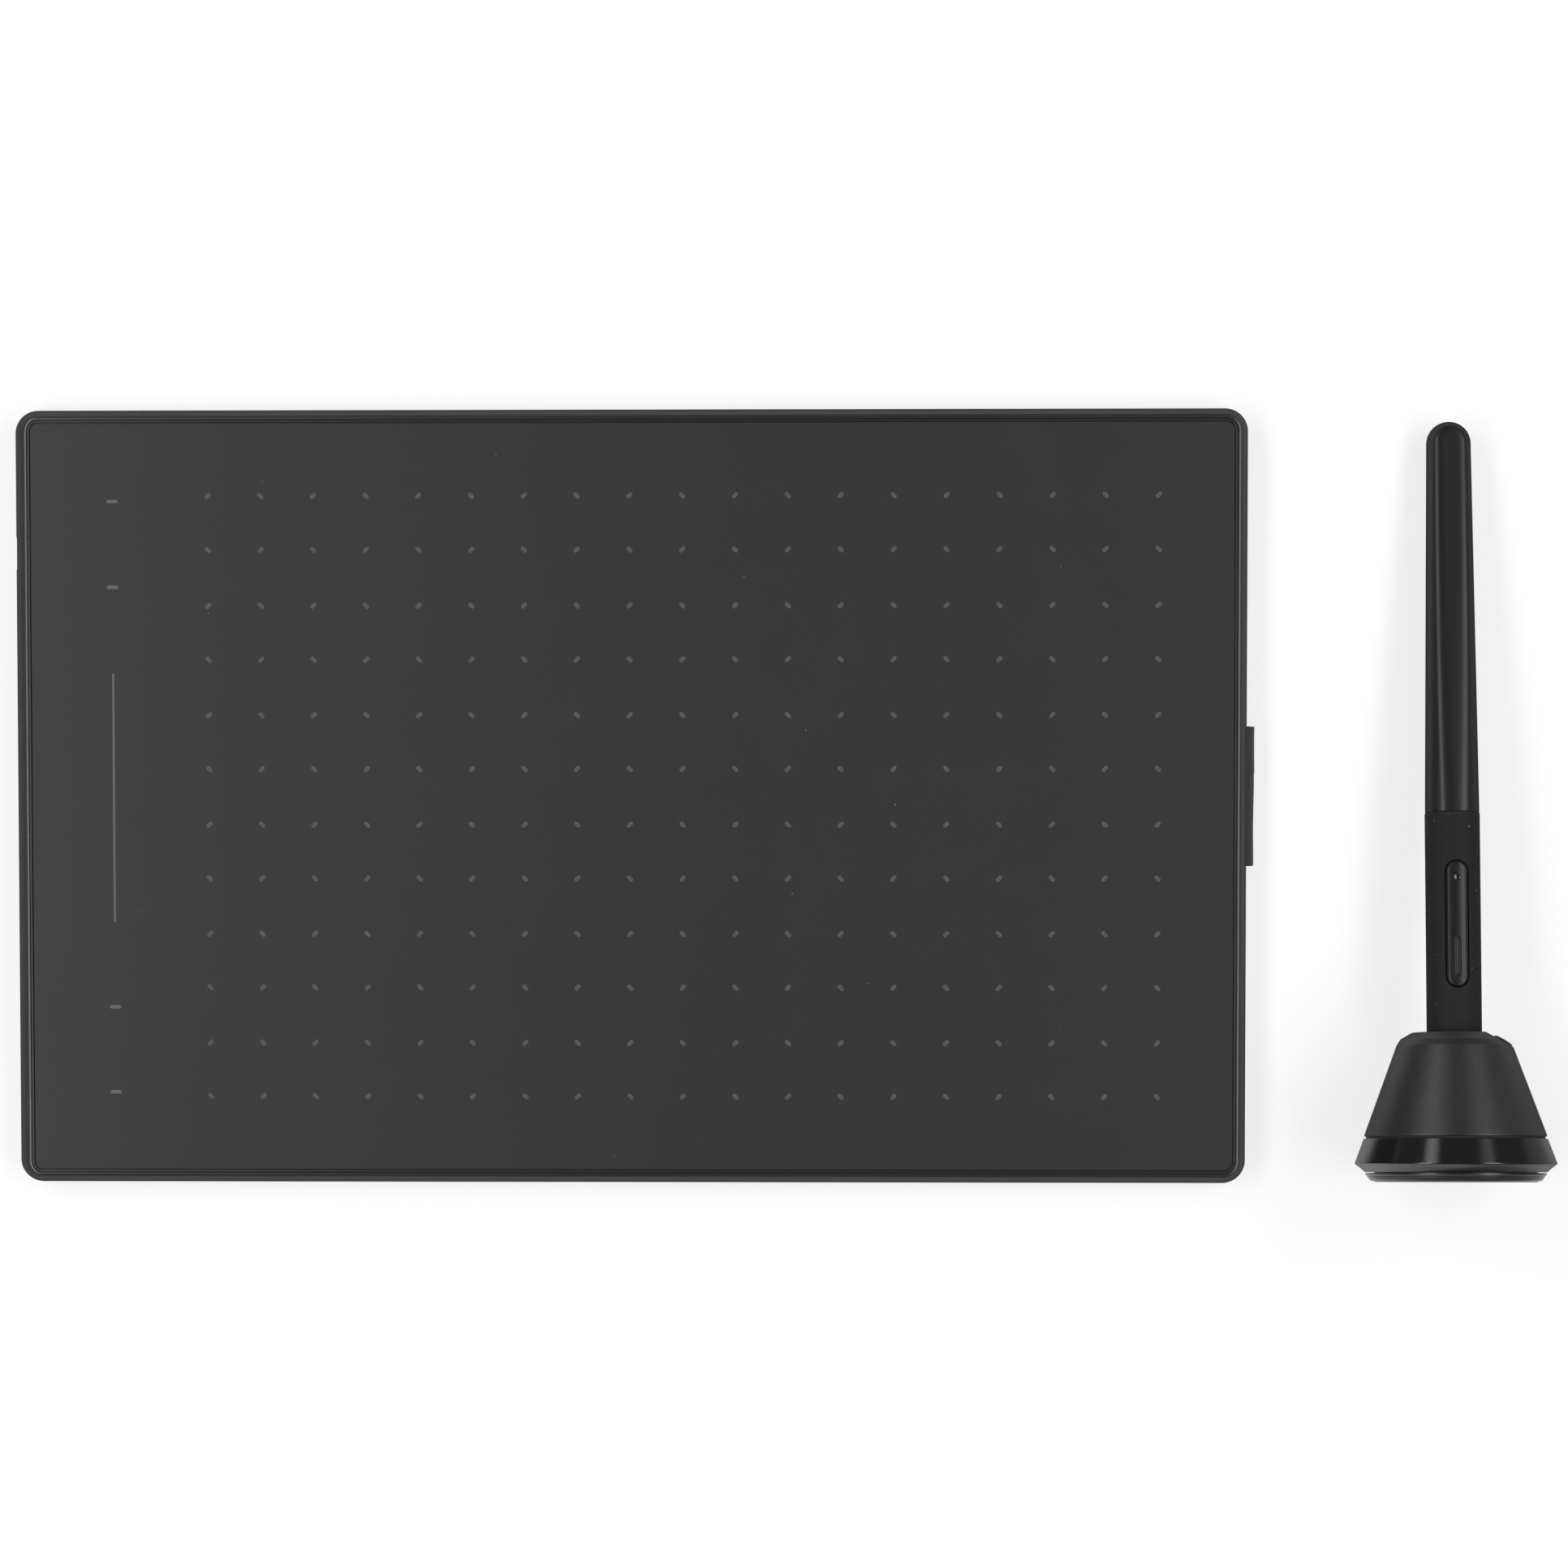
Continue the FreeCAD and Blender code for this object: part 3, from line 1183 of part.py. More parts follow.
def stand_top():
    """Matte cone with its socket, the liner that grips the pen and the nib puller."""
    cone = new_body("stand_cone")
    revolve(cone, "cone_shell",
            [("mouth_radius", "cone_top_at"), ("mouth_radius", "liner_top_at"),
             ("liner_radius", "liner_top_at"), ("liner_radius", "liner_bottom_at"),
             ("liner_wall_radius", "liner_bottom_at"), ("liner_wall_radius", "cone_hollow_top"),
             ("cone_hollow_radius", "cone_hollow_top"),
             ("cone_start_radius", "cone_hollow_start"),
             ("skirt_radius - skirt_wall", "cone_bottom_at"),
             ("skirt_radius - skirt_wall", "skirt_bottom_at"),
             ("skirt_radius", "skirt_bottom_at"), ("skirt_radius", "cone_bottom_at"),
             ("cone_bottom_radius", "cone_bottom_at"), ("shoulder_radius", "shoulder_at"),
             ("bevel_radius", "bevel_at"), ("cone_top_radius", "cone_top_at")])
    turn = (FreeCAD.Rotation(Vector(0, 0, 1), -number("facet_turn"))
            * FreeCAD.Rotation(Vector(0, 1, 0), number("facet_angle")))
    feature(cone, "SubtractiveBox", "shoulder_facet",
            (*on_facet("facet_start", "-facet_width/2"), "cone_top_at"), turn,
            Length="2*facet_run", Width="facet_width", Height="facet_run")
    reach = "(facet_start + puller_at*cos(facet_angle) - puller_sink*sin(facet_angle))"
    at = (*on_facet(reach, "-puller_width/2"),
          "cone_top_at - puller_at*sin(facet_angle) - puller_sink*cos(facet_angle)")
    feature(cone, "SubtractiveBox", "puller_seat", at, turn,
            Length="puller_length", Width="puller_width", Height="2*puller_sink")
    deliver(cone, "stand_cone", "pen")
    puller = doc.addObject("Part::Box", "puller_block")
    bind(puller, Length="puller_length", Width="puller_width", Height="puller_sink + puller_proud")
    put(puller, *at, turn)
    middle = on_facet("(%s + puller_length/2*cos(facet_angle))" % reach, "0")
    hole = rod("puller_hole", *middle, at[2] + " - puller_length/2*sin(facet_angle)",
               "puller_hole_radius", "puller_sink + puller_proud", turn)
    deliver(cut("puller", puller, [hole]), "nib_puller", "pen")
    liner = new_body("socket_liner")
    revolve(liner, "liner_sleeve",
            [("nose_tip_radius + 2*liner_fit", "liner_bottom_at"),
             ("liner_radius", "liner_bottom_at"), ("liner_radius", "liner_top_at"),
             ("grip_radius + liner_fit", "liner_top_at"),
             ("nose_radius + 2*liner_fit", "grip_start"),
             ("nose_tip_radius + 2*liner_fit", "nose_at")])
    deliver(liner, "socket_liner", "pen")


def seal_washer():
    """The friction washer between the cone and the gloss ring."""
    washer = pipe("washer", "ring_top_at + washer_gap", "ring_top_radius - washer_edge",
                  "skirt_radius + washer_fit", "cone_bottom_at - ring_top_at - 2*washer_gap")
    deliver(washer, "seal_washer", "pen")


def check(items):
    """Stop if any object has failed or any sub-part isn't a sound solid."""
    for item in doc.Objects:
        if "Invalid" in item.State or "Error" in item.State:
            raise RuntimeError("%s failed: %s" % (item.Name, item.State))
    for item in items:
        shape = item.Shape
        if shape.isNull() or not shape.isValid() or not shape.Solids:
            raise RuntimeError("%s isn't a sound solid" % item.Label)


fill_sheet("dims", SIZES, formula=False)
places = fill_sheet("places", PLACES, formula=True)

for make in (top_housing, surface_film, bottom_cover, rubber_feet, housing_screws, sensor_stack,
             main_board, board_screws, board_chips, data_socket, touch_strip, ribbon, press_keys,
             pen_loop, pen_barrel, pen_front, pen_sensor, pen_board, rocker_button, stand_base,
             nib_tray, stand_top, seal_washer):
    make()

doc.recompute()
check(nodes)
os.makedirs("parts", exist_ok=True)
for node in nodes:
    node.Shape.exportStep(os.path.join("parts", node.Label + ".step"))
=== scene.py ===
"""The looks of a graphics tablet with its pen and pen stand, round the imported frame.

Local shapes are in millimetres and are scaled to metres when a piece is made. The pen and
the stand share one axis: their shapes are drawn upright, with height measured from the
stand's foot and the side button at the front, and are then laid on that axis.
"""

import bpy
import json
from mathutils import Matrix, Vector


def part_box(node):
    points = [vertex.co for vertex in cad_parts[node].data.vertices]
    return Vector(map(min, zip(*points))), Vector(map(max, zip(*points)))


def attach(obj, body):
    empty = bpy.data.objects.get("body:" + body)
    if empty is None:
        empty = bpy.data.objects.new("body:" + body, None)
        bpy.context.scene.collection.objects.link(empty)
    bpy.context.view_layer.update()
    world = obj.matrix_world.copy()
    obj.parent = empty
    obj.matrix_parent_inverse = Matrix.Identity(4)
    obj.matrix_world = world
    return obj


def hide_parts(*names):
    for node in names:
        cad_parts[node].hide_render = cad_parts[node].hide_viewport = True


bl_info = {
    "name": "Graphics tablet set",
    "version": (1, 0, 0),
    "blender": (4, 5, 0),
    "location": "View3D > Sidebar > Tablet",
    "description": "Builds the finish of a graphics tablet, its pen and its stand",
    "category": "Object",
}

import json
import math

import bmesh
import bpy
from bpy.props import FloatProperty, FloatVectorProperty, IntProperty, PointerProperty
from mathutils import Matrix, Vector

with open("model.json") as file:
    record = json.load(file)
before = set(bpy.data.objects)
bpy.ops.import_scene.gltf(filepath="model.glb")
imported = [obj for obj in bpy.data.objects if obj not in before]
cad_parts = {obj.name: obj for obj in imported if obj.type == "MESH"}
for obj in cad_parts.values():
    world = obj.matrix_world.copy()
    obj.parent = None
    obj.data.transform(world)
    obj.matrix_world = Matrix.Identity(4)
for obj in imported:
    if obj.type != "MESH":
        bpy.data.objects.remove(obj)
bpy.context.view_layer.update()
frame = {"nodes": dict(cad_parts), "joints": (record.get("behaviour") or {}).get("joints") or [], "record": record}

MM = 0.001


# The frame's own places, in millimetres

def span(node):
    """Lowest and highest corner of a node of the frame."""
    low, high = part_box(node)
    return low / MM, high / MM


RIM_LOW, RIM_HIGH = span("top_housing")
FILM_LOW, FILM_HIGH = span("surface_film")
TABLET_X = (RIM_LOW.x + RIM_HIGH.x) / 2
TABLET_LENGTH = RIM_HIGH.x - RIM_LOW.x
# The rim is as wide at the front and at the back as it is on the right
TABLET_WIDTH = 2 * FILM_HIGH.y + 2 * (RIM_HIGH.x - FILM_HIGH.x)
# How much wider the rim is on the left
LEFT_EXTRA = 0.7
FOOT_JOINT = next(joint for joint in frame["joints"] if joint["name"] == "base_twist")
PEN_AXIS = Vector(FOOT_JOINT["axis"]).normalized()
PEN_FOOT = Vector(FOOT_JOINT["pos_m"])


def pen_matrix():
    """From the upright drawing of the pen and stand, in millimetres, to the frame in metres."""
    side = Vector((1, 0, 0))
    back = PEN_AXIS.cross(side)
    turn = Matrix((side, back, PEN_AXIS)).transposed().to_4x4()
    return Matrix.Translation(PEN_FOOT) @ turn @ Matrix.Scale(MM, 4)


TABLET = Matrix.Translation((TABLET_X * MM, 0, 0)) @ Matrix.Scale(MM, 4)
PEN = pen_matrix()

# Heights on the pen above the stand's foot, and its radius at the grip
SEAM = 84.9
BUTTON_MIDDLE = 58.98
DIMPLE_AT = 69.5
GROOVE_AT, GROOVE_HALF = 51.4, 3.9
GRIP_RADIUS = 6.28


# Settings that a user would change

def colour(label, text, value):
    """A colour setting."""
    return FloatVectorProperty(name=label, description=text, subtype="COLOR", size=3, min=0, max=1,
                               default=value)


def length(label, text, value):
    """A length setting, whose default is given in millimetres."""
    return FloatProperty(name=label, description=text, unit="LENGTH", min=0, default=value * MM)


def amount(label, text, value):
    """A setting that is a plain number."""
    return FloatProperty(name=label, description=text, min=0, default=value)


class TabletLooks(bpy.types.PropertyGroup):
    """Colours and prints of the tablet."""
    rim: colour("Rim", "Colour of the housing", (0.016, 0.016, 0.0165))
    film: colour("Surface", "Colour of the drawing surface", (0.0255, 0.0255, 0.0255))
    mark: colour("Marks", "Colour of the printed marks", (0.085, 0.085, 0.085))
    fabric: colour("Pen loop", "Colour of the woven loop", (0.062, 0.062, 0.062))
    columns: IntProperty(name="Columns", description="Marks along the length", min=1, default=19)
    rows: IntProperty(name="Rows", description="Marks across the width", min=1, default=12)
    pitch_x: length("Column pitch", "Distance between columns of marks", 12.278)
    pitch_y: length("Row pitch", "Distance between rows of marks", 12.742)
    mark_length: length("Mark length", "Length of one mark", 1.68)
    mark_width: length("Mark width", "Width of one mark", 0.93)
    mark_shift: length("Mark shift", "Offset of the marks' grid from the middle", 12.28)
    stagger: length("Stagger", "How far every second row is shifted", 0.105)


class PenLooks(bpy.types.PropertyGroup):
    """Colours of the pen."""
    barrel: colour("Barrel", "Colour of the rear shell", (0.007, 0.007, 0.007))
    grip: colour("Grip", "Colour of the soft grip", (0.0122, 0.0122, 0.0125))
    button: colour("Button", "Colour of the side button", (0.007, 0.007, 0.007))


class StandLooks(bpy.types.PropertyGroup):
    """Colours of the stand."""
    cone: colour("Cone", "Colour of the matte cone", (0.0095, 0.0095, 0.0095))
    ring: colour("Ring", "Colour of the gloss ring", (0.004, 0.004, 0.004))
    base: colour("Base", "Colour of the lower base", (0.022, 0.022, 0.022))


class StageLooks(bpy.types.PropertyGroup):
    """Lamps and floor of the studio."""
    lamp: amount("Lamps", "Power of each side lamp in watts", 15.0)
    sky: amount("Sky", "Strength of the plain surroundings", 0.16)
    backdrop: amount("Backdrop", "How bright the surroundings look behind the set", 0.74)
    glow: amount("Floor glow", "How much the floor is lifted towards white", 0.67)


# Outlines and profiles

def soften(corners, closed=True, steps=5):
    """Points of an outline of (x, y, radius) corners whose corners are rounded.

    A point close to each end of a rounding keeps the flats beside it evenly shaded.
    """
    points = []
    count = len(corners)
    for index, (x, y, radius) in enumerate(corners):
        corner = Vector((x, y))
        if radius == 0 or (not closed and index in (0, count - 1)):
            points.append(corner)
            continue
        before = (Vector(corners[index - 1][:2]) - corner).normalized()
        after = (Vector(corners[(index + 1) % count][:2]) - corner).normalized()
        half = before.angle(after) / 2
        centre = corner + (before + after).normalized() * (radius / math.sin(half))
        start = corner + before * (radius / math.tan(half)) - centre
        end = corner + after * (radius / math.tan(half)) - centre
        turn = math.pi - 2 * half
        points.append(centre + start + before * radius * 0.1)
        for step in range(steps + 1):
            share = step / steps
            points.append(centre + (start * math.sin((1 - share) * turn)
                                    + end * math.sin(share * turn)) / math.sin(turn))
        points.append(centre + end + after * radius * 0.1)
    return points


def arc(start, end, radius, steps):
    """Points between start and end on an arc; a positive radius bulges to the right of the way."""
    start, end = Vector(start), Vector(end)
    chord = end - start
    left = Vector((-chord.y, chord.x)).normalized() * math.copysign(1, radius)
    middle = (start + end) / 2
    centre = middle + left * math.sqrt(radius ** 2 - (chord.length / 2) ** 2)
    first, last = start - centre, end - centre
    turn = first.angle(last)
    return [centre + (first * math.sin((1 - step / steps) * turn)
                      + last * math.sin(step / steps * turn)) / math.sin(turn)
            for step in range(1, steps)]


def rounded_outline(length_mm, width_mm, radius):
    """Points and outward normals round a rounded rectangle, anticlockwise."""
    steps = 14
    ring = []
    for quarter in range(4):
        across = 1 if quarter in (0, 3) else -1
        up = 1 if quarter in (0, 1) else -1
        centre = Vector((across * (length_mm / 2 - radius), up * (width_mm / 2 - radius)))
        for step in range(steps + 1):
            angle = math.radians(90 * (quarter + step / steps))
            normal = Vector((math.cos(angle), math.sin(angle)))
            ring.append((centre + normal * radius, normal))
    return ring


# Meshes

def faces_between(first, second, count):
    """Quads between two rings of count points, whose first points have these numbers."""
    return [(first + index, first + (index + 1) % count,
             second + (index + 1) % count, second + index) for index in range(count)]


def join_rings(rings, count, first=0, closed=False):
    """Quads between neighbouring rings of count points, which are numbered from first."""
    faces = []
    for ring in range(rings if closed else rings - 1):
        faces += faces_between(first + ring * count, first + (ring + 1) % rings * count, count)
    return faces


def cap(count, ring=0):
    """The face that fills one ring of count points."""
    return tuple(range(ring * count, (ring + 1) * count))


def sweep(outline, profile, widen, capped=False):
    """A profile of (inset, height) points carried round an outline; capped ends are filled.

    Widen gives how much further in a point of that inset lies on the left side.
    """
    points = []
    for inset, height in profile:
        for point, normal in outline:
            place = point - normal * inset
            points.append((place.x + widen(inset) * max(-normal.x, 0), place.y, height))
    count = len(outline)
    faces = join_rings(len(profile), count, closed=not capped)
    if capped:
        faces += [cap(count)[::-1], cap(count, len(profile) - 1)]
    return points, faces


def lathe(profile, segments, closed=False, press=None):
    """A profile of (radius, height) points turned about the axis.

    The profile runs upwards on the outside, and the front is towards -Y. Press changes how far
    a point stands out in front, by its height.
    """
    points = []
    for radius, height in profile:
        for index in range(segments):
            angle = 2 * math.pi * index / segments
            front = radius * math.cos(angle)
            if press:
                front = press(front, height)
            points.append((radius * math.sin(angle), -front, height))
    return points, join_rings(len(profile), segments, closed=closed)


def make_mesh(name, points, faces, matrix, merge=0.0):
    """A mesh object whose place is in its points. Points closer than merge are joined."""
    mesh = bpy.data.meshes.new(name)
    work = bmesh.new()
    corners = [work.verts.new(matrix @ Vector(point)) for point in points]
    for face in faces:
        if len(set(face)) > 2:
            work.faces.new([corners[index] for index in face])
    if merge:
        bmesh.ops.remove_doubles(work, verts=work.verts, dist=merge * MM)
        bmesh.ops.dissolve_degenerate(work, edges=work.edges, dist=merge * MM / 2)
    bmesh.ops.recalc_face_normals(work, faces=work.faces)
    work.to_mesh(mesh)
    work.free()
    item = bpy.data.objects.new(name, mesh)
    bpy.context.scene.collection.objects.link(item)
    return item


def settle(item):
    """Turn an item with modifiers into a plain mesh."""
    graph = bpy.context.evaluated_depsgraph_get()
    plain = bpy.data.meshes.new_from_object(item.evaluated_get(graph))
    item.modifiers.clear()
    item.data = plain


def carve(item, *cutters):
    """Cut the cutters out of an item, and remove them."""
    for cutter in cutters:
        modifier = item.modifiers.new("cut", "BOOLEAN")
        modifier.operation = "DIFFERENCE"
        modifier.solver = "EXACT"
        modifier.object = cutter
    settle(item)
    for cutter in cutters:
        bpy.data.objects.remove(cutter)


def bevel(item, width, angle, segments):
    """Round an item's edges that turn by more than an angle."""
    modifier = item.modifiers.new("round", "BEVEL")
    modifier.width = width * MM
    modifier.segments = segments
    modifier.limit_method = "ANGLE"
    modifier.angle_limit = math.radians(angle)
    settle(item)


def finish_piece(item, material, body, stands_for=(), sharp=32):
    """Give a piece its finish, shading, body and slot."""
    item.data.materials.clear()
    item.data.materials.append(material)
    item.data.shade_smooth()
    item.data.set_sharp_from_angle(angle=math.radians(sharp))
    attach(item, body)
    if stands_for:
        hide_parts(*stands_for)


def cuboid(name, low, high, matrix):
    """A box between two corners, for cutting."""
    points = [(x, y, z) for x in (low[0], high[0]) for y in (low[1], high[1])
              for z in (low[2], high[2])]
    faces = [(0, 1, 3, 2), (4, 6, 7, 5), (0, 4, 5, 1), (2, 3, 7, 6), (0, 2, 6, 4), (1, 5, 7, 3)]
    return make_mesh(name, points, faces, matrix)


def capsule_points(half_length, half_width, count):
    """Points and outward normals round an upright capsule, evenly spaced from its lowest point."""
    straight = half_length - half_width
    turn = math.pi * half_width
    total = 4 * straight + 2 * turn
    ring = []
    for index in range(count):
        way = total * index / count
        if way < turn / 2:
            angle, centre = way / half_width - math.pi / 2, -straight
        elif way < turn / 2 + 2 * straight:
            ring.append((Vector((half_width, way - turn / 2 - straight)), Vector((1, 0))))
            continue
        elif way < 1.5 * turn + 2 * straight:
            angle, centre = (way - turn / 2 - 2 * straight) / half_width, straight
        elif way < 1.5 * turn + 4 * straight:
            left = straight - (way - 1.5 * turn - 2 * straight)
            ring.append((Vector((-half_width, left)), Vector((-1, 0))))
            continue
        else:
            angle, centre = (way - 1.5 * turn - 4 * straight) / half_width + math.pi, -straight
        normal = Vector((math.cos(angle), math.sin(angle)))
        ring.append((Vector((0, centre)) + normal * half_width, normal))
    return ring


# Shader groups

def feed(tree, value, entry):
    """Link a socket to an input, or set the input to a number."""
    if isinstance(value, (int, float)):
        entry.default_value = value
    else:
        tree.links.new(value, entry)


def maths(tree, operation, *values):
    """A Math node fed by sockets or numbers."""
    node = tree.nodes.new("ShaderNodeMath")
    node.operation = operation
    for place, value in enumerate(values):
        feed(tree, value, node.inputs[place])
    return node.outputs[0]


def noise(tree, vector, scale, detail, roughness):
    """A noise texture's value; scale is a socket or a number."""
    node = tree.nodes.new("ShaderNodeTexNoise")
    for label, value in (("Vector", vector), ("Scale", scale), ("Detail", detail),
                         ("Roughness", roughness)):
        feed(tree, value, node.inputs[label])
    return node.outputs["Fac"]


def smooth_ramp(tree, source, start, end, first, last):
    """A soft step that is first where the source is start and last where it is end."""
    node = tree.nodes.new("ShaderNodeMapRange")
    node.interpolation_type = "SMOOTHSTEP"
    for label, value in (("Value", source), ("From Min", start), ("From Max", end),
                         ("To Min", first), ("To Max", last)):
        feed(tree, value, node.inputs[label])
    return node.outputs[0]


def shader_group(name, inputs, outputs):
    """An empty shader group with number inputs and outputs, with its two end nodes."""
    tree = bpy.data.node_groups.new(name, "ShaderNodeTree")
    for label, value in inputs:
        entry = tree.interface.new_socket(name=label, in_out="INPUT",
                                          socket_type="NodeSocketFloat")
        entry.default_value = value
    for label in outputs:
        tree.interface.new_socket(name=label, in_out="OUTPUT", socket_type="NodeSocketFloat")
    return tree, tree.nodes.new("NodeGroupInput"), tree.nodes.new("NodeGroupOutput")


def skin_group():
    """Moulded skin: fine grain, broad mottling and smudges that change the gloss."""
    tree, start, end = shader_group(
        "moulded_skin", [("Grain Size", 0.0003), ("Mottle", 0.1), ("Smudge", 0.05)],
        ["Height", "Tone", "Gloss"])
    place = tree.nodes.new("ShaderNodeTexCoord").outputs["Object"]
    scale = maths(tree, "DIVIDE", 1.0, start.outputs["Grain Size"])
    grain = noise(tree, place, scale, 3.0, 0.6)

    def swing(source, label):
        """A noise's swing about its middle, as strong as that input says."""
        return maths(tree, "MULTIPLY", maths(tree, "SUBTRACT", source, 0.5), start.outputs[label])

    mottle = swing(noise(tree, place, 35.0, 4.0, 0.55), "Mottle")
    grain_share = 2.5
    speckle = maths(tree, "MULTIPLY", swing(grain, "Mottle"), grain_share)
    tone = maths(tree, "ADD", maths(tree, "ADD", mottle, speckle), 1.0)
    gloss = swing(noise(tree, place, 90.0, 5.0, 0.65), "Smudge")
    tree.links.new(grain, end.inputs["Height"])
    tree.links.new(tone, end.inputs["Tone"])
    tree.links.new(gloss, end.inputs["Gloss"])
    return tree


def dust_group():
    """Sparse specks of lint: a mask that is 1 on a speck."""
    tree, start, end = shader_group(
        "lint_specks", [("Spacing", 0.0016), ("Speck Size", 0.0001), ("Share", 0.2)], ["Mask"])
    place = tree.nodes.new("ShaderNodeTexCoord").outputs["Object"]
    cells = tree.nodes.new("ShaderNodeTexVoronoi")
    tree.links.new(place, cells.inputs["Vector"])
    tree.links.new(maths(tree, "DIVIDE", 1.0, start.outputs["Spacing"]), cells.inputs["Scale"])
    reach = maths(tree, "DIVIDE", start.outputs["Speck Size"], start.outputs["Spacing"])
    pick = tree.nodes.new("ShaderNodeSeparateColor")
    tree.links.new(cells.outputs["Color"], pick.inputs["Color"])
    sized = maths(tree, "MULTIPLY", reach, maths(tree, "ADD", pick.outputs["Green"], 0.4))
    near = maths(tree, "LESS_THAN", cells.outputs["Distance"], sized)
    chosen = maths(tree, "LESS_THAN", pick.outputs["Red"], start.outputs["Share"])
    tree.links.new(maths(tree, "MULTIPLY", near, chosen), end.inputs["Mask"])
    return tree


def weave_group():
    """Woven ribbon on the piece's own map: a height for the yarns, and a tone that paints shade in the dips
    between them.
    """
    tree, start, end = shader_group(
        "woven_ribbon", [("Yarns Along", 60.0), ("Yarns Across", 12.0)], ["Height", "Tone"])
    place = tree.nodes.new("ShaderNodeTexCoord").outputs["UV"]
    split = tree.nodes.new("ShaderNodeSeparateXYZ")
    tree.links.new(place, split.inputs[0])

    def yarn(way):
        """The round of a yarn at that count of yarns."""
        return maths(tree, "ABSOLUTE", maths(tree, "SINE", maths(tree, "MULTIPLY", way, math.pi)))

    along = maths(tree, "MULTIPLY", split.outputs["X"], start.outputs["Yarns Along"])
    across = maths(tree, "MULTIPLY", split.outputs["Y"], start.outputs["Yarns Across"])
    over = maths(tree, "MODULO", maths(tree, "ADD", maths(tree, "FLOOR", along),
                                       maths(tree, "FLOOR", across)), 2.0)
    under = maths(tree, "SUBTRACT", 1.0, over)
    height = maths(tree, "ADD", maths(tree, "MULTIPLY", yarn(along), over),
                   maths(tree, "MULTIPLY", yarn(across), under))
    # Painted shade: the tone follows the yarns' height, so it is darker in the dips between the yarns.
    tone = maths(tree, "ADD", maths(tree, "MULTIPLY", height, 0.5), 0.6)
    tree.links.new(height, end.inputs["Height"])
    tree.links.new(tone, end.inputs["Tone"])
    return tree


GROUPS = {}


def group_node(tree, name, **values):
    """One of the shader groups placed in a material with its own values."""
    makers = {"skin": skin_group, "dust": dust_group, "weave": weave_group}
    if name not in GROUPS:
        GROUPS[name] = makers[name]()
    node = tree.nodes.new("ShaderNodeGroup")
    node.node_tree = GROUPS[name]
    for label, value in values.items():
        node.inputs[label.replace("_", " ").title()].default_value = value
    return node


# Materials

LINT = (0.35, 0.35, 0.34)


def blank_material(name):
    """A new material with its tree and its shader."""
    material = bpy.data.materials.new(name)
    material.use_nodes = True
    shader = material.node_tree.nodes["Principled BSDF"]
    return material, material.node_tree, shader


def tinted(tree, base, tone):
    """A colour scaled by a tone that changes over the surface."""
    mix = tree.nodes.new("ShaderNodeVectorMath")
    mix.operation = "SCALE"
    mix.inputs[0].default_value = base
    tree.links.new(tone, mix.inputs["Scale"])
    return mix.outputs[0]


def mixed(tree, mask, first, second):
    """A colour that goes from first to second by a mask."""
    mix = tree.nodes.new("ShaderNodeMix")
    mix.data_type = "RGBA"
    tree.links.new(mask, mix.inputs["Factor"])
    tree.links.new(first, mix.inputs["A"])
    mix.inputs["B"].default_value = (*second, 1)
    return mix.outputs["Result"]


def relief(tree, shader, height, depth):
    """A bump of that depth, in millimetres."""
    bump = tree.nodes.new("ShaderNodeBump")
    bump.inputs["Distance"].default_value = depth * MM
    tree.links.new(height, bump.inputs["Height"])
    tree.links.new(bump.outputs["Normal"], shader.inputs["Normal"])


def moulded(name, base, rough, grain=0.3, depth=0.01, mottle=0.12, smudge=0.05, lint=0.0,
            metal=0.0, veil=0.0, specular=0.5):
    """A moulded or finished surface with grain, mottling, smudges and a little lint.

    Veil is how much rougher it looks when seen along the surface, as fine texture does.
    """
    material, tree, shader = blank_material(name)
    skin = group_node(tree, "skin", grain_size=grain * MM, mottle=mottle, smudge=smudge)
    shade = tinted(tree, base, skin.outputs["Tone"])
    if lint:
        dust = group_node(tree, "dust", share=lint)
        shade = mixed(tree, dust.outputs["Mask"], shade, LINT)
    tree.links.new(shade, shader.inputs["Base Color"])
    gloss = maths(tree, "ADD", skin.outputs["Gloss"], rough)
    if veil:
        facing = tree.nodes.new("ShaderNodeLayerWeight").outputs["Facing"]
        edge = maths(tree, "MULTIPLY", maths(tree, "POWER", facing, 2.0), veil)
        gloss = maths(tree, "ADD", gloss, edge)
    tree.links.new(gloss, shader.inputs["Roughness"])
    relief(tree, shader, skin.outputs["Height"], depth)
    shader.inputs["Metallic"].default_value = metal
    shader.inputs["Specular IOR Level"].default_value = specular
    return material


def woven(name, base):
    """Woven ribbon with painted shade between its yarns and a soft sheen."""
    material, tree, shader = blank_material(name)
    weave = group_node(tree, "weave")
    # The weave's tone paints shade into the hollows between the yarns.
    tree.links.new(tinted(tree, base, weave.outputs["Tone"]), shader.inputs["Base Color"])
    shader.inputs["Roughness"].default_value = 0.85
    shader.inputs["Sheen Weight"].default_value = 0.25
    shader.inputs["Sheen Roughness"].default_value = 0.5
    relief(tree, shader, weave.outputs["Height"], 0.12)
    return material


# Operators

class Builder:
    """What every operator here shares."""
    bl_options = {"REGISTER", "UNDO"}

    @classmethod
    def poll(cls, context):
        return context.scene is not None

    def execute(self, context):
        self.build(context.scene)
        return {"FINISHED"}


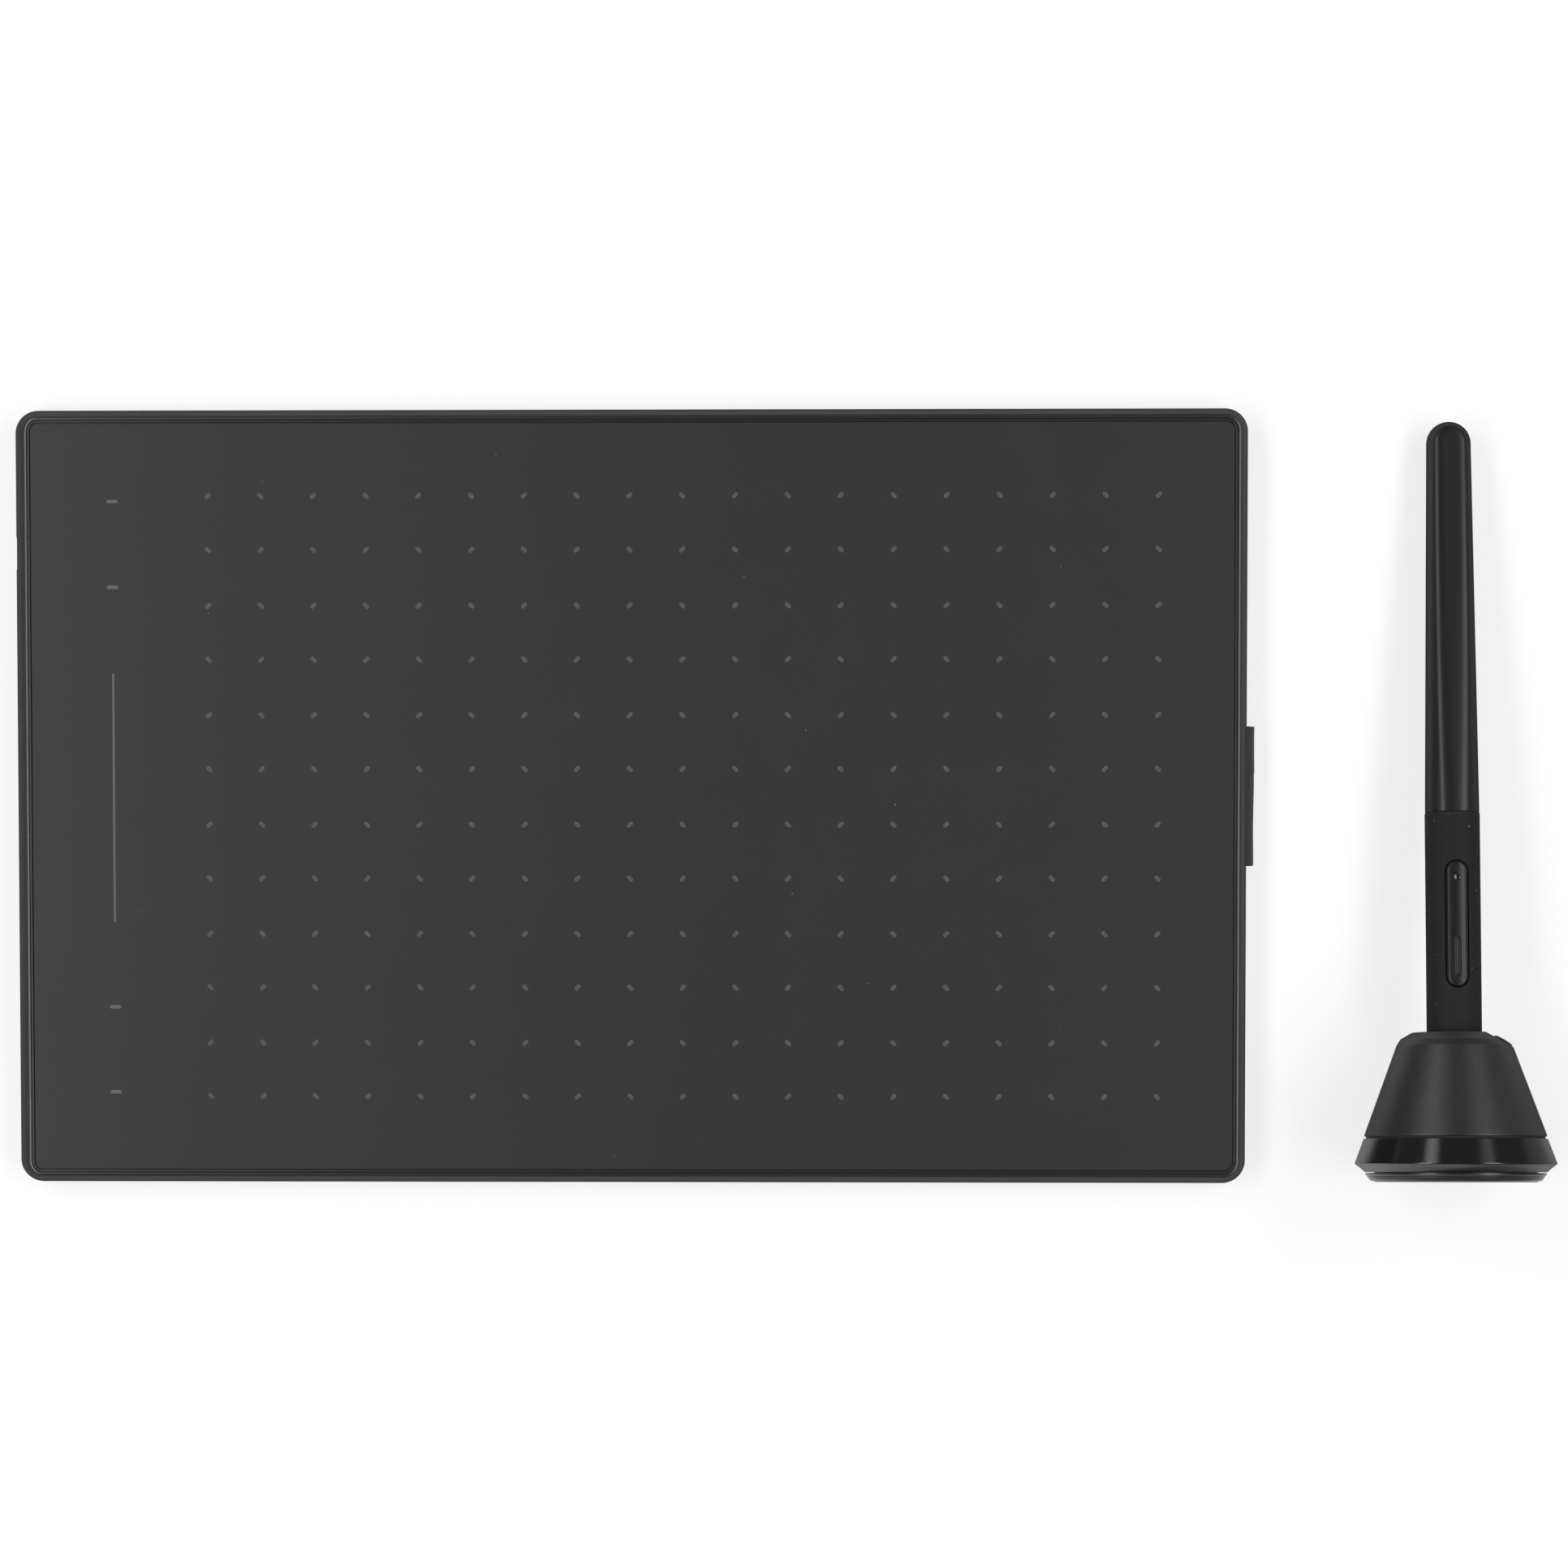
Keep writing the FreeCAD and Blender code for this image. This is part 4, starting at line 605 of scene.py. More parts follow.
class TABLET_OT_housing(Builder, bpy.types.Operator):
    """Rounded rim with its crest, ledge and openings"""
    bl_idname = "tablet.housing"
    bl_label = "Housing"

    def build(self, scene):
        base, top = 0.8, RIM_HIGH.z
        inset, wall, radius = 2.0, 3.1, 5.0
        film_bottom = FILM_LOW.z
        ledge = top - 0.24
        side = arc((inset, base), (inset, top), -radius, 28)
        start = next(point for point in reversed(side) if point.y < top - 0.42)
        crest = soften([(start.x, start.y, 0), (inset, top, 1.3), (2.62, top, 0.12),
                        (2.66, ledge, 0.08), (wall, ledge, 0.12), (wall, film_bottom, 0),
                        (5.0, film_bottom, 0), (5.0, film_bottom - 1.2, 0),
                        (wall, film_bottom - 1.2, 0), (wall, base, 0)], closed=False, steps=8)
        profile = [Vector((inset + 0.25, base)), Vector((inset + 0.06, base + 0.04))]
        profile += [point for point in side if point.y < start.y] + crest
        outline = rounded_outline(TABLET_LENGTH, TABLET_WIDTH, 5.4)

        def widen(inset):
            """The left rim's extra width, which grows from its outer edge inwards."""
            return LEFT_EXTRA * min(max(inset - 0.2, 0) / 1.4, 1)

        rim = make_mesh("rim", *sweep(outline, profile, widen), TABLET)
        edge = TABLET_LENGTH / 2
        socket_y, socket_z, count = 57.0, 4.8, 64
        points = [(x, socket_y + point.y, socket_z + point.x) for x in (-edge - 1, -edge + 4)
                  for point, _ in capsule_points(4.67, 1.83, count)]
        faces = faces_between(0, count, count) + [cap(count), cap(count, 1)]
        port = make_mesh("port_cut", points, faces, TABLET)
        slot = cuboid("slot_cut", (edge - 4, -16.6, 4.0), (edge + 1, 17.0, 5.6), TABLET)
        carve(rim, port, slot)
        looks = scene.tablet_looks
        finish_piece(rim, moulded("rim_plastic", looks.rim, 0.32, grain=0.2, depth=0.012,
                                  mottle=0.1, specular=0.8, veil=1.3),
                     "tablet", ["top_housing"])


class TABLET_OT_surface(Builder, bpy.types.Operator):
    """The one-piece drawing film with softened edges"""
    bl_idname = "tablet.surface"
    bl_label = "Drawing surface"

    def build(self, scene):
        size = FILM_HIGH - FILM_LOW
        outline = rounded_outline(size.x, size.y, 2.05)
        profile = soften([(0.5, 0, 0), (0.0, 0, 0.05), (0.0, size.z, 0.14), (0.5, size.z, 0)],
                         closed=False)
        points, faces = sweep(outline, profile, lambda inset: LEFT_EXTRA, capped=True)
        place = TABLET @ Matrix.Translation((0, 0, FILM_LOW.z))
        film = make_mesh("drawing_film", points, faces, place)
        material = moulded("film_plastic", scene.tablet_looks.film, 0.46, grain=0.18, depth=0.004,
                           mottle=0.10, smudge=0.04, lint=0.01, specular=0.42, veil=0.3)
        finish_piece(film, material, "tablet", ["surface_film"])


def print_tree(material):
    """A node tree that lays a grid of printed pills, every second one turned the other way.

    Every second row is shifted up and the rows between are shifted down.
    """
    tree = bpy.data.node_groups.new("printed_marks", "GeometryNodeTree")
    tree.interface.new_socket(name="Geometry", in_out="INPUT", socket_type="NodeSocketGeometry")
    for label in ("Columns", "Rows"):
        tree.interface.new_socket(name=label, in_out="INPUT", socket_type="NodeSocketInt")
    for label in ("Pitch X", "Pitch Y", "Length", "Width", "Thickness", "Stagger", "Tilt"):
        tree.interface.new_socket(name=label, in_out="INPUT", socket_type="NodeSocketFloat")
    tree.interface.new_socket(name="Geometry", in_out="OUTPUT", socket_type="NodeSocketGeometry")
    new, link = tree.nodes.new, tree.links.new
    start, end = new("NodeGroupInput"), new("NodeGroupOutput")
    values = start.outputs

    def reach(count, pitch):
        """How far the grid reaches in one direction."""
        return maths(tree, "MULTIPLY", maths(tree, "SUBTRACT", values[count], 1.0), values[pitch])

    size_x, size_y = reach("Columns", "Pitch X"), reach("Rows", "Pitch Y")
    grid = new("GeometryNodeMeshGrid")
    for label, source in (("Size X", size_x), ("Size Y", size_y),
                          ("Vertices X", values["Columns"]), ("Vertices Y", values["Rows"])):
        link(source, grid.inputs[label])
    split = new("ShaderNodeSeparateXYZ")
    link(new("GeometryNodeInputPosition").outputs[0], split.inputs[0])

    def number(place, size, pitch):
        """Which column or row a point belongs to."""
        offset = maths(tree, "ADD", place, maths(tree, "MULTIPLY", size, 0.5))
        return maths(tree, "ROUND", maths(tree, "DIVIDE", offset, values[pitch]))

    column = number(split.outputs["X"], size_x, "Pitch X")
    row = number(split.outputs["Y"], size_y, "Pitch Y")
    from_top = maths(tree, "SUBTRACT", maths(tree, "SUBTRACT", values["Rows"], 1.0), row)
    odd = maths(tree, "MODULO", maths(tree, "ADD", column, from_top), 2.0)
    sign = maths(tree, "SUBTRACT", 1.0, maths(tree, "MULTIPLY", odd, 2.0))
    shift = new("ShaderNodeCombineXYZ")
    second = maths(tree, "MODULO", from_top, 2.0)
    level = maths(tree, "SUBTRACT", maths(tree, "MULTIPLY", second, 2.0), 1.0)
    link(maths(tree, "MULTIPLY", level, values["Stagger"]), shift.inputs["Y"])
    moved = new("GeometryNodeSetPosition")
    link(grid.outputs["Mesh"], moved.inputs["Geometry"])
    link(shift.outputs[0], moved.inputs["Offset"])
    turn = new("ShaderNodeCombineXYZ")
    link(maths(tree, "MULTIPLY", sign, values["Tilt"]), turn.inputs["Z"])
    oblong = new("GeometryNodeCurvePrimitiveQuadrilateral")
    link(values["Length"], oblong.inputs["Width"])
    link(values["Width"], oblong.inputs["Height"])
    round_ends = new("GeometryNodeFilletCurve")
    round_ends.mode = "POLY"
    round_ends.inputs["Count"].default_value = 4
    link(oblong.outputs["Curve"], round_ends.inputs["Curve"])
    link(maths(tree, "MULTIPLY", values["Width"], 0.499), round_ends.inputs["Radius"])
    fill = new("GeometryNodeFillCurve")
    fill.mode = "NGONS"
    link(round_ends.outputs["Curve"], fill.inputs["Curve"])
    raised = new("GeometryNodeExtrudeMesh")
    raised.inputs["Individual"].default_value = False
    link(fill.outputs["Mesh"], raised.inputs["Mesh"])
    link(values["Thickness"], raised.inputs["Offset Scale"])
    under = new("GeometryNodeFlipFaces")
    link(fill.outputs["Mesh"], under.inputs["Mesh"])
    joined = new("GeometryNodeJoinGeometry")
    link(raised.outputs["Mesh"], joined.inputs[0])
    link(under.outputs["Mesh"], joined.inputs[0])
    welded = new("GeometryNodeMergeByDistance")
    welded.inputs["Distance"].default_value = 0.001 * MM
    link(joined.outputs[0], welded.inputs["Geometry"])
    marks = new("GeometryNodeInstanceOnPoints")
    link(moved.outputs["Geometry"], marks.inputs["Points"])
    link(welded.outputs["Geometry"], marks.inputs["Instance"])
    link(turn.outputs[0], marks.inputs["Rotation"])
    real = new("GeometryNodeRealizeInstances")
    link(marks.outputs["Instances"], real.inputs["Geometry"])
    ink = new("GeometryNodeSetMaterial")
    ink.inputs["Material"].default_value = material
    link(real.outputs["Geometry"], ink.inputs["Geometry"])
    link(ink.outputs["Geometry"], end.inputs[0])
    return tree


def lay_marks(name, material, matrix, **values):
    """A grid of pills as a plain mesh, laid by the node tree with these values in metres."""
    item = bpy.data.objects.new(name, bpy.data.meshes.new(name))
    bpy.context.scene.collection.objects.link(item)
    modifier = item.modifiers.new("marks", "NODES")
    modifier.node_group = print_tree(material)
    for entry in modifier.node_group.interface.items_tree:
        key = entry.name.lower().replace(" ", "_")
        if entry.in_out == "INPUT" and key in values:
            modifier[entry.identifier] = values[key]
    settle(item)
    item.data.transform(matrix)
    return item


class TABLET_OT_marks(Builder, bpy.types.Operator):
    """Printed marks of the drawing area, the four keys and the touch strip"""
    bl_idname = "tablet.marks"
    bl_label = "Printed marks"

    def build(self, scene):
        looks = scene.tablet_looks
        ink, bright = [
            moulded(name, [share * value for value in looks.mark], 0.6, grain=0.15, depth=0.004,
                    mottle=0.15) for name, share in (("mark_ink", 1.0), ("key_ink", 1.5))]
        film = 0.012 * MM
        grid_y, strip_y = 0.12, -0.08
        key_x, key_y, key_pitch = TABLET_X - 120.57, 58.92, 19.93

        def place(x, y):
            """A place on the drawing film."""
            return Matrix.Translation((x, y, FILM_HIGH.z * MM))

        grid = lay_marks("area_marks", ink, place(TABLET_X * MM + looks.mark_shift, grid_y * MM),
                         columns=looks.columns, rows=looks.rows, pitch_x=looks.pitch_x,
                         pitch_y=looks.pitch_y, length=looks.mark_length, width=looks.mark_width,
                         thickness=film, stagger=looks.stagger, tilt=math.radians(45))
        finish_piece(grid, ink, "tablet")
        for name, middle in (("rear", key_y), ("front", -key_y)):
            dashes = lay_marks("key_dashes_" + name, bright, place(key_x * MM, middle * MM),
                               columns=1, rows=2, pitch_x=key_pitch * MM, pitch_y=key_pitch * MM,
                               length=2.6 * MM, width=0.8 * MM, thickness=film, stagger=0.0,
                               tilt=0.0)
            finish_piece(dashes, bright, "tablet")
        upright = place(key_x * MM, strip_y * MM) @ Matrix.Rotation(math.pi / 2, 4, "Z")
        line = lay_marks("strip_line", bright, upright, columns=1, rows=1, pitch_x=MM, pitch_y=MM,
                         length=58.1 * MM, width=0.48 * MM, thickness=film, stagger=0.0, tilt=0.0)
        finish_piece(line, bright, "tablet")


class TABLET_OT_loop(Builder, bpy.types.Operator):
    """Woven pen loop, folded flat in the right wall"""
    bl_idname = "tablet.loop"
    bl_label = "Pen loop"

    def build(self, scene):
        edge = TABLET_LENGTH / 2
        middle, layer, gap = 4.8, 0.62, 0.1
        half = layer + gap / 2
        inner, tip = edge - 5.6, edge + 1.72
        section = [Vector((inner, middle - half))]
        section += arc((tip - half, middle - half), (tip - half, middle + half), half + 0.001, 14)
        section += [Vector((inner, middle + half)), Vector((inner, middle + gap / 2))]
        section += arc((tip - half, middle + gap / 2), (tip - half, middle - gap / 2),
                       -gap / 2 - 0.001, 5)
        section.append(Vector((inner, middle - gap / 2)))
        count, stations = len(section), 96
        half_width, slant = 16.5, 0.32
        points = []
        for station in range(stations + 1):
            share = 2 * station / stations - 1
            wave = 0.05 * math.sin(5.1 * share + 0.6) + (0.08 if share > 0.33 else 0)
            for point in section:
                out = max(point.x - edge, 0) / 1.5
                y = 0.2 + share * (half_width - slant * out * abs(share) ** 6)
                points.append((point.x + wave * out + 0.06 * out * share, y, point.y))
        faces = join_rings(stations + 1, count) + [cap(count), cap(count, stations)]
        loop = make_mesh("loop_ribbon", points, faces, TABLET)
        uv = loop.data.uv_layers.new(name="ribbon")
        for entry in loop.data.loops:
            place = loop.data.vertices[entry.vertex_index].co / MM
            around = place.x + (place.z - middle)
            uv.data[entry.index].uv = (place.y / (2 * half_width) + 0.5, around / 8.0)
        material = woven("loop_weave", scene.tablet_looks.fabric)
        finish_piece(loop, material, "tablet", ["pen_loop"], sharp=50)


def flat_face(front, height):
    """Press the barrel's front down to its flat, which deepens towards the tail.

    Soft is how far the flat's edges blend into the round.
    """
    radius, taper, full_at, depth, soft = 6.2, 0.0128, 160.0, 1.1, 0.9
    if front < 0:
        return front
    way = min((height - SEAM) / (full_at - SEAM), 1)
    level = radius - taper * (height - SEAM) - depth * (1 - (1 - way) ** 2)
    blend = max(soft - abs(front - level), 0) / soft
    return min(front, level) - blend * blend * soft / 4


class TABLET_OT_pen_shell(Builder, bpy.types.Operator):
    """Rear barrel with its flat and its round tail"""
    bl_idname = "tablet.pen_shell"
    bl_label = "Pen shell"

    def build(self, scene):
        tail_centre, tail, front = 170.9, 5.1, 6.2
        around, rings, tail_rings = 288, 60, 30
        profile = [Vector((5.05, SEAM + 0.02)), Vector((6.0, SEAM + 0.02)),
                   Vector((6.14, SEAM + 0.06)), Vector((6.19, SEAM + 0.2))]
        for ring in range(1, rings + 1):
            share = ring / rings
            profile.append(Vector((front + (tail - front) * share,
                                   SEAM + 0.5 + (tail_centre - SEAM - 0.5) * share)))
        for ring in range(1, tail_rings):
            angle = math.pi / 2 * ring / tail_rings
            profile.append(Vector((tail * math.cos(angle), tail_centre + tail * math.sin(angle))))
        profile.append(Vector((0.02, tail_centre + tail)))
        points, faces = lathe(profile, around, press=flat_face)
        faces.append(cap(around, len(profile) - 1))
        barrel = make_mesh("barrel", points, faces, PEN)
        satin = moulded("barrel_plastic", scene.pen_looks.barrel, 0.36, grain=0.12, depth=0.003,
                        mottle=0.08, specular=0.45, veil=1.2)
        finish_piece(barrel, satin, "pen", ["pen_barrel"], sharp=40)


class TABLET_OT_grip(Builder, bpy.types.Operator):
    """Soft grip with the button's window"""
    bl_idname = "tablet.grip"
    bl_label = "Grip"

    def build(self, scene):
        reach, middle = GRIP_RADIUS, BUTTON_MIDDLE
        half_length, half_width, lip = 14.65, 2.7, 0.16
        low, high = 42.0, 76.0
        around, side, steps = 96, 34, 30
        points, faces = [], []
        front = soften([(4.9, 22.0, 0), (5.6, 22.0, 0.25), (reach, 34.0, 30.0), (reach, low, 0)],
                       closed=False, steps=10)
        back = soften([(reach, high, 0), (reach, SEAM, 0.3), (5.2, SEAM, 0)], closed=False)
        for profile in (front, back):
            faces += join_rings(len(profile), around, len(points))
            for radius, height in profile:
                for index in range(around):
                    angle = 2 * math.pi * index / around - math.pi
                    points.append((radius * math.sin(angle), -radius * math.cos(angle), height))
        # The outline of the sleeve round the window, from the front of its lower end
        border = [(math.pi * step / (around / 2), low) for step in range(around // 2)]
        border += [(math.pi, low + (high - low) * step / side) for step in range(side)]
        border += [(math.pi - 2 * math.pi * step / around, high) for step in range(around)]
        border += [(-math.pi, high - (high - low) * step / side) for step in range(side)]
        border += [(math.pi * (step / (around / 2) - 1), low) for step in range(around // 2)]
        count = len(border)
        window = capsule_points(half_length, half_width, count)
        rows = [[(point.x, -depth, middle + point.y) for point, _ in window]
                for depth in (4.35, 5.2)]
        for step in range(5):
            angle = math.pi / 2 * step / 4
            row = []
            for point, normal in window:
                place = point + normal * lip * (1 - math.cos(angle))
                out = math.sqrt(max(reach * reach - place.x * place.x, 0))
                row.append((place.x, -out + lip * (1 - math.sin(angle)), middle + place.y))
            rows.append(row)
        edge = [point + normal * (lip + 0.3) for point, normal in window]
        for step in range(steps + 1):
            share = (step / steps) ** 1.3
            row = []
            for place, (angle, height) in zip(edge, border):
                start = math.asin(place.x / reach)
                turn = start + (angle - start) * share
                row.append((reach * math.sin(turn), -reach * math.cos(turn),
                            (middle + place.y) * (1 - share) + height * share))
            rows.append(row)
        faces += join_rings(len(rows), count, len(points))
        points += [point for row in rows for point in row]
        grip = make_mesh("grip_sleeve", points, faces, PEN, merge=0.002)
        material = moulded("grip_silicone", scene.pen_looks.grip, 0.68, grain=0.2, depth=0.006,
                           mottle=0.14, smudge=0.05, lint=0.7, specular=0.3, veil=0.6)
        finish_piece(grip, material, "pen", ["pen_grip"], sharp=40)


def dimple_distance(x, height):
    """How far a place on the button is from the dimple's middle."""
    return math.hypot(x, height - DIMPLE_AT)


def groove_distance(x, height):
    """How far a place on the button is from the groove's middle line."""
    return math.hypot(x, max(abs(height - GROOVE_AT) - GROOVE_HALF, 0))


class TABLET_OT_button(Builder, bpy.types.Operator):
    """Side button with a crowned top, a dimple and a groove"""
    bl_idname = "tablet.button"
    bl_label = "Side button"

    def build(self, scene):
        middle, half_length, half_width = BUTTON_MIDDLE, 14.45, 2.5
        count, rings = 560, 40
        crown, edge = 0.34, 0.62
        ball, dimple_half = 1.3, 0.75
        step_half, slot_half = 0.72, 0.3
        outline = capsule_points(half_length, half_width, count)

        def top(x, height, inset):
            """How far the button stands out at a place and a distance from its outline."""
            base = math.sqrt(GRIP_RADIUS ** 2 - x * x) + crown
            drop = edge * (1 - math.sqrt(1 - (1 - min(inset / edge, 1)) ** 2))
            bowl = max(math.sqrt(max(ball ** 2 - dimple_distance(x, height) ** 2, 0))
                       - math.sqrt(ball ** 2 - dimple_half ** 2), 0)
            off = groove_distance(x, height)
            step = min(max((step_half - off) / 0.12, 0), 1)
            slot = min(max((slot_half - off) / 0.1, 0), 1)
            return base - drop - bowl - 0.07 * step - 0.4 * slot

        rows = [[(point.x, -4.4, middle + point.y) for point, _ in outline]]
        for ring in range(rings + 1):
            inset = half_width * (ring / rings) ** 1.15
            row = []
            for point, normal in outline:
                place = point - normal * inset
                row.append((place.x, -top(place.x, middle + place.y, inset), middle + place.y))
            rows.append(row)
        points = [point for row in rows for point in row]
        faces = join_rings(len(rows), count) + [cap(count)]
        button = make_mesh("side_button", points, faces, PEN, merge=0.002)
        looks = scene.pen_looks
        material = moulded("button_plastic", looks.button, 0.36, grain=0.12, depth=0.002,
                           mottle=0.08, specular=0.4, veil=0.8)
        finish_piece(button, material, "rocker", ["rocker_button"], sharp=50)
        polish = moulded("button_polish", looks.button, 0.1, grain=0.3, depth=0.0003, specular=0.9)
        button.data.materials.append(polish)
        back = PEN.inverted()
        for face in button.data.polygons:
            place = back @ face.center
            hollow = (dimple_distance(place.x, place.z) < dimple_half + 0.01
                      or groove_distance(place.x, place.z) < slot_half)
            if place.y < -5 and hollow:
                face.material_index = 1


def facet_frame():
    """The frame of the cone's shoulder facet: its first axis runs outwards and down."""
    inner, outer, top, drop, turn = 7.5, 13.1, 34.2, 3.3, 13
    slope = math.atan(drop / (outer - inner))
    return (PEN @ Matrix.Rotation(math.radians(-turn), 4, "Z")
            @ Matrix.Translation((inner, 0, top)) @ Matrix.Rotation(slope, 4, "Y"))


class TABLET_OT_stand_cone(Builder, bpy.types.Operator):
    """Matte cone of the stand with its facet and nib puller"""
    bl_idname = "tablet.stand_cone"
    bl_label = "Stand cone"

    def build(self, scene):
        outside = [(18.4, 6.6, 0.15), (18.4, 10.4, 0), (20.78, 10.4, 0.25), (13.2, 31.2, 1.2),
                   (12.3, 32.7, 1.0), (9.7, 34.2, 0.9), (6.6, 34.2, 0.25), (6.6, 33.4, 0),
                   (8.0, 33.4, 0), (8.0, 10.6, 0), (9.6, 10.6, 0), (9.6, 29.1, 0),
                   (11.9, 29.1, 0), (18.3, 11.4, 0), (16.4, 10.4, 0), (16.4, 6.6, 0)]
        cone = make_mesh("cone", *lathe(soften(outside), 192, closed=True), PEN)
        carve(cone, cuboid("facet_cut", (0.0, -7.5, 0.0), (12.0, 7.5, 6.0), facet_frame()),
              cuboid("seat_cut", (1.75, -2.35, -0.85), (6.45, 2.35, 3.0), facet_frame()))
        bevel(cone, 0.2, 24, 3)
        looks = scene.stand_looks
        matte = moulded("cone_plastic", looks.cone, 0.31, grain=0.22, depth=0.055, mottle=0.3,
                        specular=0.9, veil=1.0)
        finish_piece(cone, matte, "stand_top", ["stand_cone"], sharp=28)
        self.puller(scene)

    def puller(self, scene):
        """Rounded block in the facet that grips and pulls a worn nib."""
        half_width, hole_at, hole_radius = 2.3, 4.15, 1.05
        edge = [(1.8, -0.8), (1.8, 0.1), (2.25, 0.44), (2.9, 0.52), (4.2, 0.55), (5.3, 0.5),
                (6.1, 0.38), (6.4, 0.2), (6.4, -0.8)]
        count = len(edge)
        points = [(x, y, z) for y in (-half_width, half_width) for x, z in edge]
        faces = faces_between(0, count, count) + [cap(count), cap(count, 1)]
        block = make_mesh("puller", points, faces, facet_frame())
        bore = [(0.01, -2.0), (hole_radius, -2.0), (hole_radius, 2.0), (0.01, 2.0)]
        carve(block, make_mesh("puller_hole", *lathe(bore, 32),
                               facet_frame() @ Matrix.Translation((hole_at, 0, 0))))
        bevel(block, 0.06, 25, 2)
        dark = moulded("puller_plastic", scene.stand_looks.base, 0.35, grain=0.2, depth=0.01)
        finish_piece(block, dark, "stand_top", ["nib_puller"])


class TABLET_OT_stand_base(Builder, bpy.types.Operator):
    """Gloss ring and ribbed floor of the stand"""
    bl_idname = "tablet.stand_base"
    bl_label = "Stand base"

    def build(self, scene):
        looks = scene.stand_looks
        profile = [Vector((18.6, 2.25)), Vector((20.6, 2.25)), Vector((20.68, 2.28))]
        profile += arc((20.7, 2.32), (22.74, 3.98), -14.0, 16)
        profile += soften([(22.6, 3.88, 0), (22.94, 4.18, 0.24), (20.82, 9.9, 0.14),
                           (18.6, 9.9, 0)], closed=False)[1:]
        ring = make_mesh("gloss_ring", *lathe(profile, 224, closed=True), PEN)
        gloss = moulded("ring_plastic", looks.ring, 0.13, grain=0.5, depth=0.0004, mottle=0.05,
                        smudge=0.02, specular=0.75, veil=0.5)
        finish_piece(ring, gloss, "stand_base", ["stand_ring"], sharp=24)
        corners = [(0.02, 1.0, 0), (18.42, 1.0, 0), (18.42, 0.12, 0.06), (19.3, 0.2, 0.7),
                   (19.86, 0.84, 0.05), (19.76, 0.9, 0.02), (20.14, 1.22, 0.05),
                   (20.04, 1.28, 0.02), (20.46, 1.58, 0.1), (20.5, 2.1, 0.08), (18.6, 2.1, 0),
                   (18.6, 3.1, 0), (0.02, 3.1, 0)]
        floor = make_mesh("ribbed_floor", *lathe(soften(corners, steps=3), 192, closed=True), PEN)
        satin = moulded("base_plastic", looks.base, 0.3, grain=0.25, depth=0.008, mottle=0.1)
        finish_piece(floor, satin, "stand_base", ["stand_floor"], sharp=24)


class TABLET_OT_fittings(Builder, bpy.types.Operator):
    """Finishes of the nodes whose shape is already right"""
    bl_idname = "tablet.fittings"
    bl_label = "Fittings"

    def build(self, scene):
        finishes = {
            "housing_plastic": moulded("cover_plastic", (0.022, 0.022, 0.023), 0.5, grain=0.3,
                                       depth=0.03, mottle=0.12, lint=0.01),
            "foot_rubber": moulded("foot_rubber", (0.016, 0.016, 0.016), 0.8, grain=0.4,
                                   depth=0.02, mottle=0.2, lint=0.05),
            "screw_steel": moulded("black_steel", (0.10, 0.10, 0.105), 0.35, grain=0.2,
                                   depth=0.004, metal=1.0),
            "board_green": moulded("solder_mask", (0.012, 0.07, 0.03), 0.3, grain=0.6,
                                   depth=0.004),
            "chip_black": moulded("chip_plastic", (0.014, 0.014, 0.014), 0.5, grain=0.15,
                                  depth=0.006),
            "shield_metal": moulded("shield_sheet", (0.62, 0.63, 0.64), 0.32, grain=0.8,
                                    depth=0.003, metal=1.0),
            "foam_grey": moulded("open_foam", (0.07, 0.07, 0.075), 0.95, grain=0.5, depth=0.15,
                                 mottle=0.5),
            "socket_steel": moulded("drawn_steel", (0.42, 0.42, 0.43), 0.28, grain=0.3,
                                    depth=0.003, metal=1.0),
            "key_plastic": moulded("natural_plastic", (0.26, 0.26, 0.26), 0.45, grain=0.3,
                                   depth=0.01),
            "flex_amber": moulded("flex_film", (0.35, 0.14, 0.02), 0.3, grain=0.4, depth=0.003),
            "barrel_plastic": moulded("nose_plastic", scene.pen_looks.barrel, 0.4, grain=0.12,
                                      depth=0.006),
            "nib_plastic": moulded("nib_plastic", (0.02, 0.02, 0.02), 0.38, grain=0.1,
                                   depth=0.004),
            "ferrite": moulded("ferrite_core", (0.03, 0.028, 0.03), 0.6, grain=0.2, depth=0.01),
            "copper_wire": moulded("enamelled_wire", (0.45, 0.15, 0.06), 0.3, grain=0.1,
                                   depth=0.01, metal=0.8),
            "base_plastic": moulded("tray_plastic", scene.stand_looks.base, 0.42, grain=0.3,
                                    depth=0.012),
            "weight_steel": moulded("plated_weight", (0.35, 0.35, 0.36), 0.36, grain=0.5,
                                    depth=0.008, metal=1.0),
            "seal_rubber": moulded("seal_rubber", (0.012, 0.012, 0.012), 0.7, grain=0.3,
                                   depth=0.015),
        }
        for entry in frame["record"]["subparts"]:
            node = frame["nodes"][entry["node"]]
            finish = finishes.get(entry["material_slot"])
            if finish and not node.hide_render:
                node.data.materials.clear()
                node.data.materials.append(finish)


